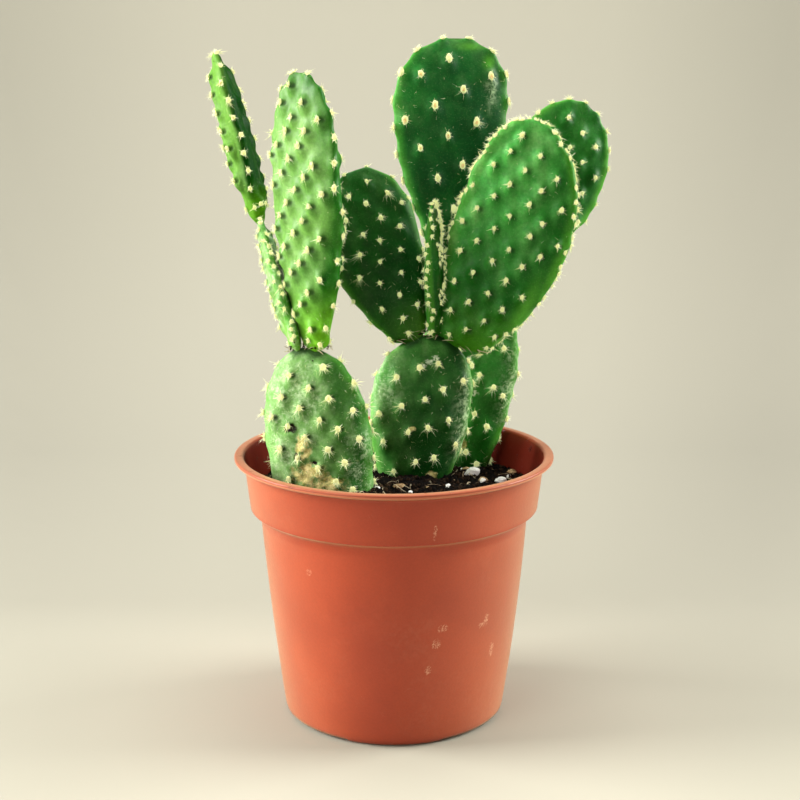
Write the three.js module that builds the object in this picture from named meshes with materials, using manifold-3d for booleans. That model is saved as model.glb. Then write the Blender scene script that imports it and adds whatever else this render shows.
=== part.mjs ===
// A paddle cactus in a round plastic nursery pot filled with potting soil.
// Millimetres, +Z up, -Y is the front. The origin is the centre of the pot's underside.
// The plant is a chain of flat pads: three stand in the soil, and each of the other
// eight grows from the top edge of an older pad.

import * as THREE from 'three';
import { mergeVertices } from 'three/addons/utils/BufferGeometryUtils.js';
import Module from 'manifold-3d';

const wasm = await Module();
wasm.setup();

// ---------------------------------------------------------------- driving dimensions

const CLEARANCE = 0.3;      // gap kept between two pieces that touch

const POT = {
  height: 100.5,
  footRadius: 41.9,         // outside, where the body would meet the underside
  footCorner: 2.4,          // radius of the rounded corner there
  bellyRadius: 47.3,        // outside, where the body is a little fuller than a cone
  bellyHeight: 42,
  shoulderRadius: 50.3,     // outside, where the body ends
  shoulderHeight: 75.4,
  collarFoot: 54.3,         // outside, at the foot of the wider collar
  collarFootHeight: 80.9,
  collarTop: 56.3,          // outside, just under the lip
  lipRadius: 60,
  lipThickness: 1.4,
  wall: 1.2,
  floor: 2.6,
  segments: 40,
};

const DRAIN = {
  recessCount: 4,           // shallow arches under the rim of the floor
  recessAngle: 42,          // degrees each
  recessHeight: 1.2,
  recessInner: 33,          // radius where an arch begins
  holesPerRecess: 2,
  holeRadius: 3,
  holeCircle: 37.4,
  holeSpread: 11,           // degrees to each side of the arch's middle
};

const SOIL = {
  edgeHeight: 86,           // top of the soil at the pot's wall
  mound: 2.6,               // how much higher it stands in the middle
  ripple: 0.7,
  rings: 7,
  lumpRise: 0.2,            // how far a lump's middle stands above the top, in its half heights
};

// Lumps that stick out of the soil: three grains of perlite, a chip of bark and some crumbs.
// size is the half length of each axis, turn is in degrees.
const LUMPS = [
  { at: [30.5, 15.5], size: [3.1, 1.9, 1.7], turn: 24 },
  { at: [40.8, 3], size: [2.1, 1.5, 1.3], turn: -10 },
  { at: [33.9, 1.3], size: [1.5, 1.2, 1.0], turn: 60 },
  { at: [1.9, -6.9], size: [2.6, 1.5, 1.2], turn: 35 },
  { at: [-8, 34], size: [2.8, 2.2, 1.6], turn: 15 },
  { at: [-36, 24], size: [2.3, 1.9, 1.4], turn: 80 },
  { at: [12, -30], size: [2.6, 2.1, 1.5], turn: -40 },
  { at: [-4, -44], size: [2.2, 1.7, 1.3], turn: 5 },
  { at: [46, 20], size: [2.0, 1.8, 1.3], turn: 50 },
];

// The pads. A pad that stands in the soil has a foot, one that grows from another pad has
// that pad's name and its seat: where it sits across the older pad's top edge, from -1 at
// the left end to 1 at the right.
//   length, width, thick   its size
//   right, back            degrees that it leans to the right and to the back
//   turn                   degrees that its face is turned from the front to the right
//   neck, neckThick        share of the width and of the thickness at its base
//   belly                  share of the length at which it is widest
//   swell                  how soon it widens above the neck: small is soon
//   blunt, bluntThick      how blunt its width and its thickness end: 2 would be an ellipse
//   bend                   how far its middle is bent to its right side
//   sink                   how deep its base reaches into the older pad's edge
//   across, along          spacing of its areoles in a row, and of the rows
const PLAIN_PAD = {
  neckThick: 0.5, swell: 0.85, blunt: 2, bluntThick: 2.2, bend: 0, sink: 2, across: 12, along: 6,
};
const PADS = {
  left_base: {
    foot: [-26, -8, 62], length: 80, right: -5, back: 3, turn: -10, width: 40.5, thick: 17,
    neck: 0.54, neckThick: 0.55, belly: 0.59, swell: 0.55, bend: 2, across: 12.5,
  },
  centre_base: {
    foot: [7, 14, 70], length: 73.5, right: 6, back: 0, turn: 5, width: 39, thick: 16,
    neck: 0.38, neckThick: 0.55, belly: 0.66, swell: 0.95, bend: -1.5, across: 12.5,
  },
  right_base: {
    foot: [23.5, 31, 70], length: 89.5, right: 6, back: 1, turn: -10, width: 39, thick: 14,
    neck: 0.42, neckThick: 0.55, belly: 0.65, swell: 1.5,
  },
  left_main: {
    on: 'left_base', seat: 0.19, length: 102, right: -2.1, back: -3, turn: -48, width: 37.5, thick: 14,
    neck: 0.29, neckThick: 0.5, belly: 0.61, swell: 0.95, blunt: 2.4, across: 11, along: 5.3,
  },
  left_edge: {
    on: 'left_base', seat: -0.14, length: 56, right: -18, back: 24, turn: -92, width: 21, thick: 8.2,
    neck: 0.3, neckThick: 0.55, belly: 0.62, across: 9, along: 5,
  },
  left_slender: {
    on: 'left_edge', seat: 0.2, sink: 5.5, length: 67, right: -14.4, back: 3, turn: -78,
    width: 21, thick: 11.2, neck: 0.3, neckThick: 0.55, belly: 0.62, bluntThick: 4.5,
    across: 10, along: 4.8,
  },
  centre_left: {
    on: 'centre_base', seat: -0.38, length: 69, right: -19, back: 6, turn: 10, width: 37.5, thick: 12,
    neck: 0.3, belly: 0.64, swell: 0.85, bend: -2.5, across: 13.8, along: 5.3,
  },
  centre_small: {
    on: 'centre_base', seat: 0.04, length: 53.5, right: -1, back: -9, turn: 72, width: 16, thick: 7.5,
    neck: 0.4, belly: 0.66, across: 9, along: 5,
  },
  right_main: {
    on: 'centre_base', seat: 0.44, length: 90.5, right: 20, back: -5, turn: -12, width: 43.5, thick: 13,
    neck: 0.38, belly: 0.57, swell: 0.64, bend: 5.6, across: 11.5, along: 6.3,
  },
  back_tall: {
    on: 'right_base', seat: -0.45, length: 99.5, right: 0, back: 5, turn: 12, width: 46, thick: 12,
    neck: 0.2, belly: 0.76, swell: 1.4, blunt: 2.2, bend: -2.5, across: 15, along: 9.8,
  },
  right_back: {
    on: 'right_base', seat: 0.32, length: 82.5, right: 26, back: 6, turn: 12, width: 42, thick: 11,
    neck: 0.28, belly: 0.62, swell: 1.5, bend: 1, along: 7,
  },
};

const THICK_FULL = 0.32;    // share of the length at which a pad is thickest
const TIP_THINNING = 0.15;  // share of the thickness that it has lost besides by its tip
const BASE_ROUND = 4.5;     // length over which a pad's base is rounded
const BASE_DEPTH = 0.85;    // how much of a quarter circle that is
const SECTION_POWER = 2.3;  // 2 would make a pad's cross-section an ellipse
const PAD_RINGS = 13;
const PAD_SIDES = 16;

// Each areole carries one upright spine and three that spread.
const SPINES = {
  reach: 3.4,               // of a spreading spine, along the skin
  rise: 1.9,                // of its tip above the skin
  upright: 2.6,
  root: 0.75,               // from the areole's middle to the corners of its root
  margin: 1.15,             // room that the root keeps inside its facet, in roots
  turns: 12,                // steps in which a root is turned to fit its facet
  rowStep: 9,               // rows closer than this are thinned to every second one
  rowsEnd: 0.93,            // share of a pad's length where the rows stop
  rowReach: 0.86,           // share of a pad's half width that a row covers
  edgeSpacing: 12,          // along a pad's edge
  aboveSoil: 4,             // least height of an areole above the soil
  fromPad: 1,               // room that a spine's tip keeps from another pad
  apart: 2.1,               // room between the areoles of two pads, in reaches
};

const COLOURS = {
  pot: 0xb9603f,
  soil: 0x2b211c,
  olderPad: 0x55784a,
  youngPad: 0x3f7f3f,
};

// ---------------------------------------------------------------- small helpers

const radians = THREE.MathUtils.degToRad;

/** A repeatable source of numbers from 0 to 1. */
function randomSource(seed) {
  let state = seed;
  return () => {
    state = (state + 0x6d2b79f5) | 0;
    let mixed = Math.imul(state ^ (state >>> 15), 1 | state);
    mixed = (mixed + Math.imul(mixed ^ (mixed >>> 7), 61 | mixed)) ^ mixed;
    return ((mixed ^ (mixed >>> 14)) >>> 0) / 4294967296;
  };
}

/** The closed surface of a geometry as a solid that can be cut and joined. */
function solid(geometry) {
  const bare = geometry.clone();
  bare.deleteAttribute('normal');
  bare.deleteAttribute('uv');
  const merged = mergeVertices(bare, 1e-4);
  const index = merged.index.array;
  const kept = [];
  for (let i = 0; i < index.length; i += 3) {
    const [a, b, c] = [index[i], index[i + 1], index[i + 2]];
    if (a !== b && b !== c && c !== a) kept.push(a, b, c);
  }
  return new wasm.Manifold(new wasm.Mesh({
    numProp: 3,
    vertProperties: new Float32Array(merged.attributes.position.array),
    triVerts: new Uint32Array(kept),
  }));
}

/** A named, coloured mesh made of a finished solid. */
function piece(name, body, material) {
  const { vertProperties, triVerts } = body.getMesh();
  const geometry = new THREE.BufferGeometry();
  geometry.setAttribute('position', new THREE.BufferAttribute(vertProperties, 3));
  geometry.setIndex(new THREE.BufferAttribute(triVerts, 1));
  const mesh = new THREE.Mesh(geometry, material);
  mesh.name = name;
  return mesh;
}

/** A solid of revolution about +Z from [radius, height] points that start and end on the axis. */
function revolved(profile, segments) {
  const points = profile.map(([radius, height]) => new THREE.Vector2(radius, height));
  return solid(new THREE.LatheGeometry(points, segments).rotateX(Math.PI / 2));
}

/** Rings of points joined by a skin, with one closing point below and one above. */
function skinGeometry(rings, bottom, top) {
  const sides = rings[0].length;
  const positions = [...rings.flat(), bottom, top].flatMap((p) => p.toArray());
  const low = rings.length * sides;
  const high = low + 1;
  const last = (rings.length - 1) * sides;
  const index = [];
  for (let side = 0; side < sides; side++) {
    const next = (side + 1) % sides;
    index.push(low, next, side, last + side, last + next, high);
    for (let ring = 0; ring + 1 < rings.length; ring++) {
      const a = ring * sides + side;
      const b = ring * sides + next;
      index.push(a, b, b + sides, a, b + sides, a + sides);
    }
  }
  const geometry = new THREE.BufferGeometry();
  geometry.setAttribute('position', new THREE.Float32BufferAttribute(positions, 3));
  geometry.setIndex(index);
  return geometry;
}

/** A geometry made of single facets. */
function facetGeometry(facets) {
  const positions = facets.flatMap(({ a, b, c }) => [...a.toArray(), ...b.toArray(), ...c.toArray()]);
  const geometry = new THREE.BufferGeometry();
  geometry.setAttribute('position', new THREE.Float32BufferAttribute(positions, 3));
  return geometry;
}

// ---------------------------------------------------------------- pot

/** The outside of the pot, as [radius, height] points from the underside to the lip. */
function potOutside() {
  const lipFoot = POT.height - 2 * POT.lipThickness;
  return [
    [POT.footRadius - POT.footCorner, 0],
    [POT.footRadius - 0.3 * POT.footCorner, 0.3 * POT.footCorner],
    [POT.footRadius + 0.1 * POT.footCorner, POT.footCorner],
    [POT.bellyRadius, POT.bellyHeight],
    [POT.shoulderRadius, POT.shoulderHeight],
    [POT.collarFoot - 0.2, POT.collarFootHeight - 0.6],
    [POT.collarFoot, POT.collarFootHeight],
    [POT.collarTop, lipFoot],
    [POT.lipRadius - 0.5, POT.height - POT.lipThickness],
    [POT.lipRadius, POT.height - 0.9],
    [POT.lipRadius - 0.3, POT.height],
  ];
}

/** The inside of the pot, as [radius, height] points from the lip down to the floor. */
function potInside() {
  return [
    [POT.collarTop + 0.4, POT.height],
    [POT.collarTop - POT.wall, POT.height - 1.6],
    [POT.collarFoot - POT.wall, POT.collarFootHeight + 0.4],
    [POT.shoulderRadius - POT.wall, POT.shoulderHeight + 0.4],
    [POT.bellyRadius - POT.wall, POT.bellyHeight],
    [POT.footRadius - POT.wall + 0.2, POT.floor + 1.4],
    [POT.footRadius - POT.wall - 1.2, POT.floor],
  ];
}

/** One drain arch under the floor's rim: a thick piece of a ring. */
function drainArch(middle) {
  const half = radians(DRAIN.recessAngle / 2);
  const outer = POT.footRadius + 4;
  const sector = new THREE.Shape();
  sector.absarc(0, 0, outer, middle - half, middle + half, false);
  sector.absarc(0, 0, DRAIN.recessInner, middle + half, middle - half, true);
  sector.closePath();
  const below = 1;
  const arch = new THREE.ExtrudeGeometry(sector, {
    depth: DRAIN.recessHeight + below, bevelEnabled: false, curveSegments: 6,
  });
  return solid(arch.translate(0, 0, -below));
}

/** One round drain hole through the floor. */
function drainHole(angle) {
  const hole = new THREE.CylinderGeometry(DRAIN.holeRadius, DRAIN.holeRadius, 4 * POT.floor, 12);
  hole.rotateX(Math.PI / 2);
  return solid(hole.translate(DRAIN.holeCircle * Math.cos(angle), DRAIN.holeCircle * Math.sin(angle), 0));
}

function makePot() {
  let pot = revolved([[0, 0], ...potOutside(), ...potInside(), [0, POT.floor]], POT.segments);
  for (let arch = 0; arch < DRAIN.recessCount; arch++) {
    const middle = (arch + 0.5) * 2 * Math.PI / DRAIN.recessCount;
    pot = pot.subtract(drainArch(middle));
    for (let hole = 0; hole < DRAIN.holesPerRecess; hole++) {
      const side = 2 * hole - (DRAIN.holesPerRecess - 1);
      pot = pot.subtract(drainHole(middle + side * radians(DRAIN.holeSpread)));
    }
  }
  return pot;
}

// ---------------------------------------------------------------- pads

/** How far a pad's rounded base has opened at a share of its length, up to 1. */
function baseShare(pad, along) {
  const before = BASE_DEPTH * (1 - Math.min(along * pad.length / BASE_ROUND, 1));
  return Math.sqrt(1 - before * before);
}

/** Half the width of a pad at a share of its length, as a share of its largest. */
function widthShare(pad, along) {
  if (along < pad.belly) {
    const rising = Math.sin(Math.PI / 2 * along / pad.belly) ** pad.swell;
    return baseShare(pad, along) * (pad.neck + (1 - pad.neck) * rising);
  }
  const past = Math.min((along - pad.belly) / (1 - pad.belly), 1);
  return Math.sqrt(1 - past ** pad.blunt);
}

/** Half the thickness of a pad at a share of its length, as a share of its largest. */
function thickShare(pad, along) {
  if (along < THICK_FULL) {
    const rising = Math.sin(Math.PI / 2 * along / THICK_FULL);
    return baseShare(pad, along) * (pad.neckThick + (1 - pad.neckThick) * rising);
  }
  const past = Math.min((along - THICK_FULL) / (1 - THICK_FULL), 1);
  return Math.sqrt(1 - past ** pad.bluntThick) * (1 - TIP_THINNING * past);
}

/** How far a pad's middle is bent aside at a share of its length. */
function bendAt(pad, along) {
  return 4 * pad.bend * along * (1 - along);
}

/** The middle of a pad at a share of its length. */
function padMiddle(pad, along) {
  return pad.base.clone()
    .addScaledVector(pad.up, along * pad.length)
    .addScaledVector(pad.side, bendAt(pad, along));
}

/** The place and directions of a pad: base, up its length, across it and out of its face. */
function placedPad(name, older) {
  const pad = { name, ...PLAIN_PAD, ...PADS[name] };
  pad.up = new THREE.Vector3(Math.tan(radians(pad.right)), Math.tan(radians(pad.back)), 1).normalize();
  const facing = new THREE.Vector3(Math.sin(radians(pad.turn)), -Math.cos(radians(pad.turn)), 0);
  pad.out = facing.addScaledVector(pad.up, -facing.dot(pad.up)).normalize();
  pad.side = new THREE.Vector3().crossVectors(pad.up, pad.out);
  if (!pad.on) {
    pad.base = new THREE.Vector3(...pad.foot);
    return pad;
  }
  const along = older.belly + (1 - older.belly) * Math.sqrt(1 - pad.seat * pad.seat);
  pad.base = padMiddle(older, along)
    .addScaledVector(older.side, pad.seat * older.width / 2)
    .addScaledVector(pad.up, -pad.sink);
  return pad;
}

/** A point of a pad's skin: angle 0 is its right edge and a quarter turn its face. */
function padPoint(pad, along, angle, grow = 0) {
  const power = 2 / SECTION_POWER;
  const cos = Math.cos(angle);
  const sin = Math.sin(angle);
  const halfWidth = pad.width / 2 * widthShare(pad, along) + grow;
  const halfThick = pad.thick / 2 * thickShare(pad, along) + grow;
  return padMiddle(pad, along)
    .addScaledVector(pad.side, halfWidth * Math.sign(cos) * Math.abs(cos) ** power)
    .addScaledVector(pad.out, halfThick * Math.sign(sin) * Math.abs(sin) ** power);
}

/** The skin of a pad's plain body, grown all round by a margin. */
function padSkin(pad, grow = 0) {
  const rings = [];
  for (let ring = 0; ring < PAD_RINGS; ring++) {
    const along = (1 - Math.cos(Math.PI * ring / PAD_RINGS)) / 2;
    const points = [];
    for (let side = 0; side < PAD_SIDES; side++) {
      points.push(padPoint(pad, along, -2 * Math.PI * side / PAD_SIDES, grow));
    }
    points.forEach((point) => point.addScaledVector(pad.up, -grow * Math.cos(Math.PI * ring / PAD_RINGS)));
    rings.push(points);
  }
  const foot = pad.base.clone().addScaledVector(pad.up, -grow);
  const tip = padPoint(pad, 1, 0).addScaledVector(pad.up, grow);
  return skinGeometry(rings, foot, tip);
}

/** A pad's plain body as single facets. */
function padFacets(pad) {
  const corners = padSkin(pad).toNonIndexed().attributes.position;
  const corner = (number) => new THREE.Vector3().fromBufferAttribute(corners, number);
  const facets = [];
  for (let first = 0; first < corners.count; first += 3) {
    facets.push(new THREE.Triangle(corner(first), corner(first + 1), corner(first + 2)));
  }
  return facets;
}

/** Whether a point lies inside a pad grown by a margin. */
function isInside(pad, point, grow) {
  const offset = point.clone().sub(pad.base);
  const along = THREE.MathUtils.clamp(offset.dot(pad.up) / pad.length, 0, 1);
  const beyond = Math.abs(offset.dot(pad.up) - along * pad.length);
  if (beyond > grow) return false;
  const halfWidth = pad.width / 2 * widthShare(pad, along) + grow;
  const halfThick = pad.thick / 2 * thickShare(pad, along) + grow;
  const sideways = Math.abs(offset.dot(pad.side) - bendAt(pad, along)) / halfWidth;
  const outwards = Math.abs(offset.dot(pad.out)) / halfThick;
  return sideways ** SECTION_POWER + outwards ** SECTION_POWER < 1;
}

// ---------------------------------------------------------------- areoles and spines

/** A place on a pad's skin, with the directions out of the skin, up the pad and around it. */
function skinPlace(pad, along, angle) {
  const step = 1e-3;
  const at = padPoint(pad, along, angle);
  const upwards = padPoint(pad, along + step, angle).sub(padPoint(pad, along - step, angle));
  const around = padPoint(pad, along, angle + step).sub(padPoint(pad, along, angle - step));
  const out = upwards.clone().cross(around).normalize();
  const up = upwards.normalize();
  return { at, out, up, around: new THREE.Vector3().crossVectors(up, out) };
}

/** The places of a pad's areoles: staggered rows on both faces, and a line along its edge. */
function areolePlaces(pad) {
  const places = [];
  const rowGap = pad.along < SPINES.rowStep ? 2 * pad.along : pad.along;
  const rows = Math.floor(pad.length * SPINES.rowsEnd / rowGap);
  for (let row = 1; row <= rows; row++) {
    const along = row * rowGap / pad.length;
    const half = pad.width / 2 * widthShare(pad, along);
    const reach = Math.ceil(half / pad.across) + 1;
    for (let column = -reach; column <= reach; column++) {
      const across = (column + (row % 2) / 2) * pad.across;
      if (Math.abs(across) > SPINES.rowReach * half) continue;
      const cos = Math.sign(across) * (Math.abs(across) / half) ** (SECTION_POWER / 2);
      const angle = Math.acos(cos);
      places.push(skinPlace(pad, along, angle), skinPlace(pad, along, -angle));
    }
  }
  for (const edge of [0, Math.PI]) {
    const count = Math.round(pad.length / SPINES.edgeSpacing);
    for (let step = 2; step <= count; step++) {
      places.push(skinPlace(pad, Math.sin(Math.PI / 2 * step / (count + 0.6)), edge));
    }
  }
  return places;
}

/** The facet that a place on the smooth skin falls in, and a point well inside its edges. */
function facetAt(facets, place) {
  let best = null;
  for (const facet of facets) {
    const normal = facet.getNormal(new THREE.Vector3());
    const slope = normal.dot(place.out);
    if (slope < 0.3) continue;
    const depth = facet.a.clone().sub(place.at).dot(normal) / slope;
    if (Math.abs(depth) > SPINES.reach || (best && Math.abs(depth) > best.depth)) continue;
    const at = place.at.clone().addScaledVector(place.out, depth);
    const shares = facet.getBarycoord(at, new THREE.Vector3()).toArray();
    if (Math.min(...shares) < -1e-6) continue;
    best = { facet, normal, shares, depth: Math.abs(depth) };
  }
  if (!best) return null;
  const { facet, normal } = best;
  const edges = [facet.b.distanceTo(facet.c), facet.c.distanceTo(facet.a), facet.a.distanceTo(facet.b)];
  const least = edges.map((edge) => SPINES.root * SPINES.margin * edge / (2 * facet.getArea()));
  const spare = 1 - least.reduce((sum, share) => sum + share);
  if (spare < 0.05) return null;
  const above = best.shares.map((share, corner) => Math.max(share - least[corner], 0));
  const scale = spare / above.reduce((sum, share) => sum + share);
  const [toA, toB, toC] = above.map((share, corner) => least[corner] + share * scale);
  const at = facet.a.clone().multiplyScalar(toA)
    .addScaledVector(facet.b, toB)
    .addScaledVector(facet.c, toC);
  return { facet, normal, at };
}

/** The facets that join a facet's corners to a small triangle of roots inside it. */
function collar({ a, b, c }, [first, second, third]) {
  return [
    new THREE.Triangle(a, b, first), new THREE.Triangle(b, second, first),
    new THREE.Triangle(b, c, second), new THREE.Triangle(c, third, second),
    new THREE.Triangle(c, a, third), new THREE.Triangle(a, first, third),
  ];
}

/** The roots of a star of spines in a facet: an even triangle, turned until its collar is whole. */
function starRoots({ facet, normal, at }, random) {
  const ahead = facet.a.clone().sub(at).projectOnPlane(normal).normalize();
  const aside = normal.clone().cross(ahead);
  const start = random() - 0.5;
  const leastArea = 0.002 * facet.getArea();
  for (let turn = 0; turn < SPINES.turns; turn++) {
    const roots = [0, 1, 2].map((corner) => {
      const angle = start + 2 * Math.PI * (corner / 3 + turn / SPINES.turns);
      return at.clone()
        .addScaledVector(ahead, SPINES.root * Math.cos(angle))
        .addScaledVector(aside, SPINES.root * Math.sin(angle));
    });
    const whole = collar(facet, roots).every((part) => (
      part.getArea() > leastArea && part.getNormal(new THREE.Vector3()).dot(normal) > 0.5));
    if (whole) return roots;
  }
  return null;
}

/** One areole: an upright spine and three that spread, grown out of a facet of the skin. */
function areole(site, random) {
  const roots = starRoots(site, random);
  if (!roots) return null;
  const { at, normal } = site;
  const upright = at.clone().addScaledVector(normal, SPINES.upright * (0.85 + 0.15 * random()));
  const facets = collar(site.facet, roots);
  const tips = [upright];
  roots.forEach((root, corner) => {
    const next = roots[(corner + 1) % 3];
    const outwards = root.clone().add(next).multiplyScalar(0.5).sub(at).normalize();
    const tip = at.clone()
      .addScaledVector(outwards, SPINES.reach * (0.8 + 0.2 * random()))
      .addScaledVector(normal, SPINES.rise);
    tips.push(tip);
    facets.push(
      new THREE.Triangle(root, next, tip),
      new THREE.Triangle(tip, next, upright),
      new THREE.Triangle(root, tip, upright),
    );
  });
  return { at, tips, facets };
}

/** Whether spines at a place are clear of the soil, the other pads and the spines on those. */
function isClear(pad, at, tips, pads, taken) {
  const others = pads.filter((other) => other !== pad);
  const blocked = tips.some((tip) => others.some((other) => isInside(other, tip, SPINES.fromPad)));
  const buried = at.z < SOIL.edgeHeight + SOIL.mound + SPINES.aboveSoil;
  const room = SPINES.apart * SPINES.reach;
  const near = taken.some((other) => other.pad !== pad && other.at.distanceTo(at) < room);
  return !blocked && !buried && !near;
}

/** A pad's facets, with an areole at every place where its spines are clear. */
function spinyFacets(pad, pads, taken, random) {
  let facets = padFacets(pad);
  for (const place of areolePlaces(pad)) {
    const site = facetAt(facets, place);
    const grown = site && areole(site, random);
    if (!grown || !isClear(pad, grown.at, grown.tips, pads, taken)) continue;
    taken.push({ pad, at: grown.at });
    facets = facets.filter((facet) => facet !== site.facet).concat(grown.facets);
  }
  return facets;
}

/** A pad's body with a star of spines on its very tip, rooted below the thin edge, if clear. */
function withTipStar(body, pad, pads, taken, random) {
  const tip = padPoint(pad, 1, 0);
  const start = random() * Math.PI;
  const ring = Array.from({ length: 6 }, (_, point) => {
    const angle = start - Math.PI * point / 3;
    const spread = point % 2 ? SPINES.root : SPINES.reach;
    return tip.clone()
      .addScaledVector(pad.side, spread * Math.cos(angle))
      .addScaledVector(pad.out, spread * Math.sin(angle))
      .addScaledVector(pad.up, point % 2 ? -SPINES.root : SPINES.rise);
  });
  if (!isClear(pad, tip, ring, pads, taken)) return body;
  taken.push({ pad, at: tip });
  const root = tip.clone().addScaledVector(pad.up, -3 * SPINES.root);
  const upright = tip.clone().addScaledVector(pad.up, SPINES.upright);
  return body.add(solid(skinGeometry([ring], root, upright)));
}

/** Every pad with its spines, seated on the older pad and clear of the ones made before. */
function makePads() {
  const random = randomSource(11);
  const placed = {};
  for (const name of Object.keys(PADS)) placed[name] = placedPad(name, placed[PADS[name].on]);
  const pads = Object.values(placed);
  const taken = [];
  return pads.map((pad, order) => {
    let body = solid(facetGeometry(spinyFacets(pad, pads, taken, random)));
    body = withTipStar(body, pad, pads, taken, random);
    for (const earlier of pads.slice(0, order)) body = body.subtract(solid(padSkin(earlier, CLEARANCE)));
    return { pad, body };
  });
}

// ---------------------------------------------------------------- soil

/** Height of the soil's top at a place: a low mound with shallow ripples. */
function soilHeight(x, y) {
  const share = Math.hypot(x, y) / POT.collarFoot;
  const ripple = Math.sin(0.17 * x + 1.1) * Math.cos(0.21 * y - 0.4) + 0.5 * Math.sin(0.43 * x - 0.31 * y);
  return SOIL.edgeHeight + SOIL.mound * (1 - share * share) + SOIL.ripple * ripple * (1 - share ** 4);
}

/** A lump of the soil: a rounded stone shape that is half sunk. */
function soilLump({ at: [x, y], size, turn }) {
  const lump = new THREE.IcosahedronGeometry(1, 0);
  lump.scale(...size).rotateZ(radians(turn));
  return solid(lump.translate(x, y, soilHeight(x, y) + SOIL.lumpRise * size[2]));
}

/** The soil, which fills the pot to below its lip, with a plain hole for each rooted pad. */
function makeSoil(pads) {
  const inside = potInside().reverse();
  const wallAngle = (segment) => 2 * Math.PI * segment / POT.segments;
  const ringAt = (radius, height) => Array.from({ length: POT.segments }, (_, segment) => {
    const x = radius * Math.cos(wallAngle(segment));
    const y = radius * Math.sin(wallAngle(segment));
    return new THREE.Vector3(x, y, height ?? soilHeight(x, y));
  });
  const sides = inside
    .filter(([, height]) => height < SOIL.edgeHeight)
    .map(([radius, height], order) => ringAt(radius - CLEARANCE, order ? height : height + CLEARANCE));
  const wallSlope = (POT.collarTop - POT.collarFoot) / (POT.height - 1.6 - POT.collarFootHeight);
  const topRadius = POT.collarFoot - POT.wall - CLEARANCE
    + wallSlope * (SOIL.edgeHeight - POT.collarFootHeight - 1);
  const tops = [];
  for (let ring = SOIL.rings; ring > 0; ring--) tops.push(ringAt(topRadius * ring / SOIL.rings));
  const bottom = new THREE.Vector3(0, 0, POT.floor + CLEARANCE);
  const top = new THREE.Vector3(0, 0, soilHeight(0, 0));
  let soil = solid(skinGeometry([...sides, ...tops], bottom, top));
  soil = wasm.Manifold.union([soil, ...LUMPS.map(soilLump)]);
  for (const { pad } of pads) {
    if (!pad.on) soil = soil.subtract(solid(padSkin(pad, CLEARANCE)));
  }
  return soil;
}

// ---------------------------------------------------------------- the whole plant

/** A plain surface that isn't metal. */
function finish(color, roughness) {
  return new THREE.MeshStandardMaterial({ color, roughness, metalness: 0 });
}

const potPlastic = finish(COLOURS.pot, 0.5);
const darkSoil = finish(COLOURS.soil, 0.95);
const olderSkin = finish(COLOURS.olderPad, 0.55);
const youngSkin = finish(COLOURS.youngPad, 0.5);

const cactus = new THREE.Group();
const pads = makePads();
cactus.add(piece('pot', makePot(), potPlastic));
cactus.add(piece('soil', makeSoil(pads), darkSoil));
for (const { pad, body } of pads) {
  cactus.add(piece(`pad_${pad.name}`, body, pad.on ? youngSkin : olderSkin));
}

export default cactus;
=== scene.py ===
"""A young paddle cactus in a round plastic nursery pot, standing on a pale studio floor.

The tables give millimetres and degrees, and MM turns millimetres into Blender's metres. +Z is up
and -Y is the front. The plant is a chain of flat pads: three stand in the soil and each of the
others grows from the top edge of an older one. Every surface is worked out as whole arrays, from
the formula in its function's docstring, and is written to the mesh in one go.
"""

import math
from types import SimpleNamespace as Sizes

import bpy
import numpy as np
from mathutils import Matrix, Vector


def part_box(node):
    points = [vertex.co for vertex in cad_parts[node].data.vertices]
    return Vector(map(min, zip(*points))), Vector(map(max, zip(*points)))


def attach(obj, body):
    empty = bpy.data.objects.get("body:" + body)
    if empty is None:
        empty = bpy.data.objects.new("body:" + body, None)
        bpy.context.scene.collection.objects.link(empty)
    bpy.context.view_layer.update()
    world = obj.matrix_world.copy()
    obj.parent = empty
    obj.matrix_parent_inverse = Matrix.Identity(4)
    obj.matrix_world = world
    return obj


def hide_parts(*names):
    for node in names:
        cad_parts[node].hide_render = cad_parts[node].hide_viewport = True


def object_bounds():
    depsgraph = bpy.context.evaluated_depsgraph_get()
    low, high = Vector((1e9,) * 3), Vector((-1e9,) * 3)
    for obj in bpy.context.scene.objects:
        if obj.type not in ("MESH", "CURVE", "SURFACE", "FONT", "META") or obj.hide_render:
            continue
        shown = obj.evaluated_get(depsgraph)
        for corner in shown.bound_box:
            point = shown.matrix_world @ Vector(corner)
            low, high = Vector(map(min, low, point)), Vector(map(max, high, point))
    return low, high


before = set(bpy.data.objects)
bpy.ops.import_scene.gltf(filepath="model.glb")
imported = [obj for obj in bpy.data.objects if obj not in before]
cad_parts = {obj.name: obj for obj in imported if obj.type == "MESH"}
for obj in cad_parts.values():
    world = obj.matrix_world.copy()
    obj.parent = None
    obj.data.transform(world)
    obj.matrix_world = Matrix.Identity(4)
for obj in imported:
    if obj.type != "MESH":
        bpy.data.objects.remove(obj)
cad_low, cad_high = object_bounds()

# ------------------------------------------------------------------ driving dimensions

MM = 0.001
BOX_MARGIN = 0.05               # how far every point stays inside the model's box

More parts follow.
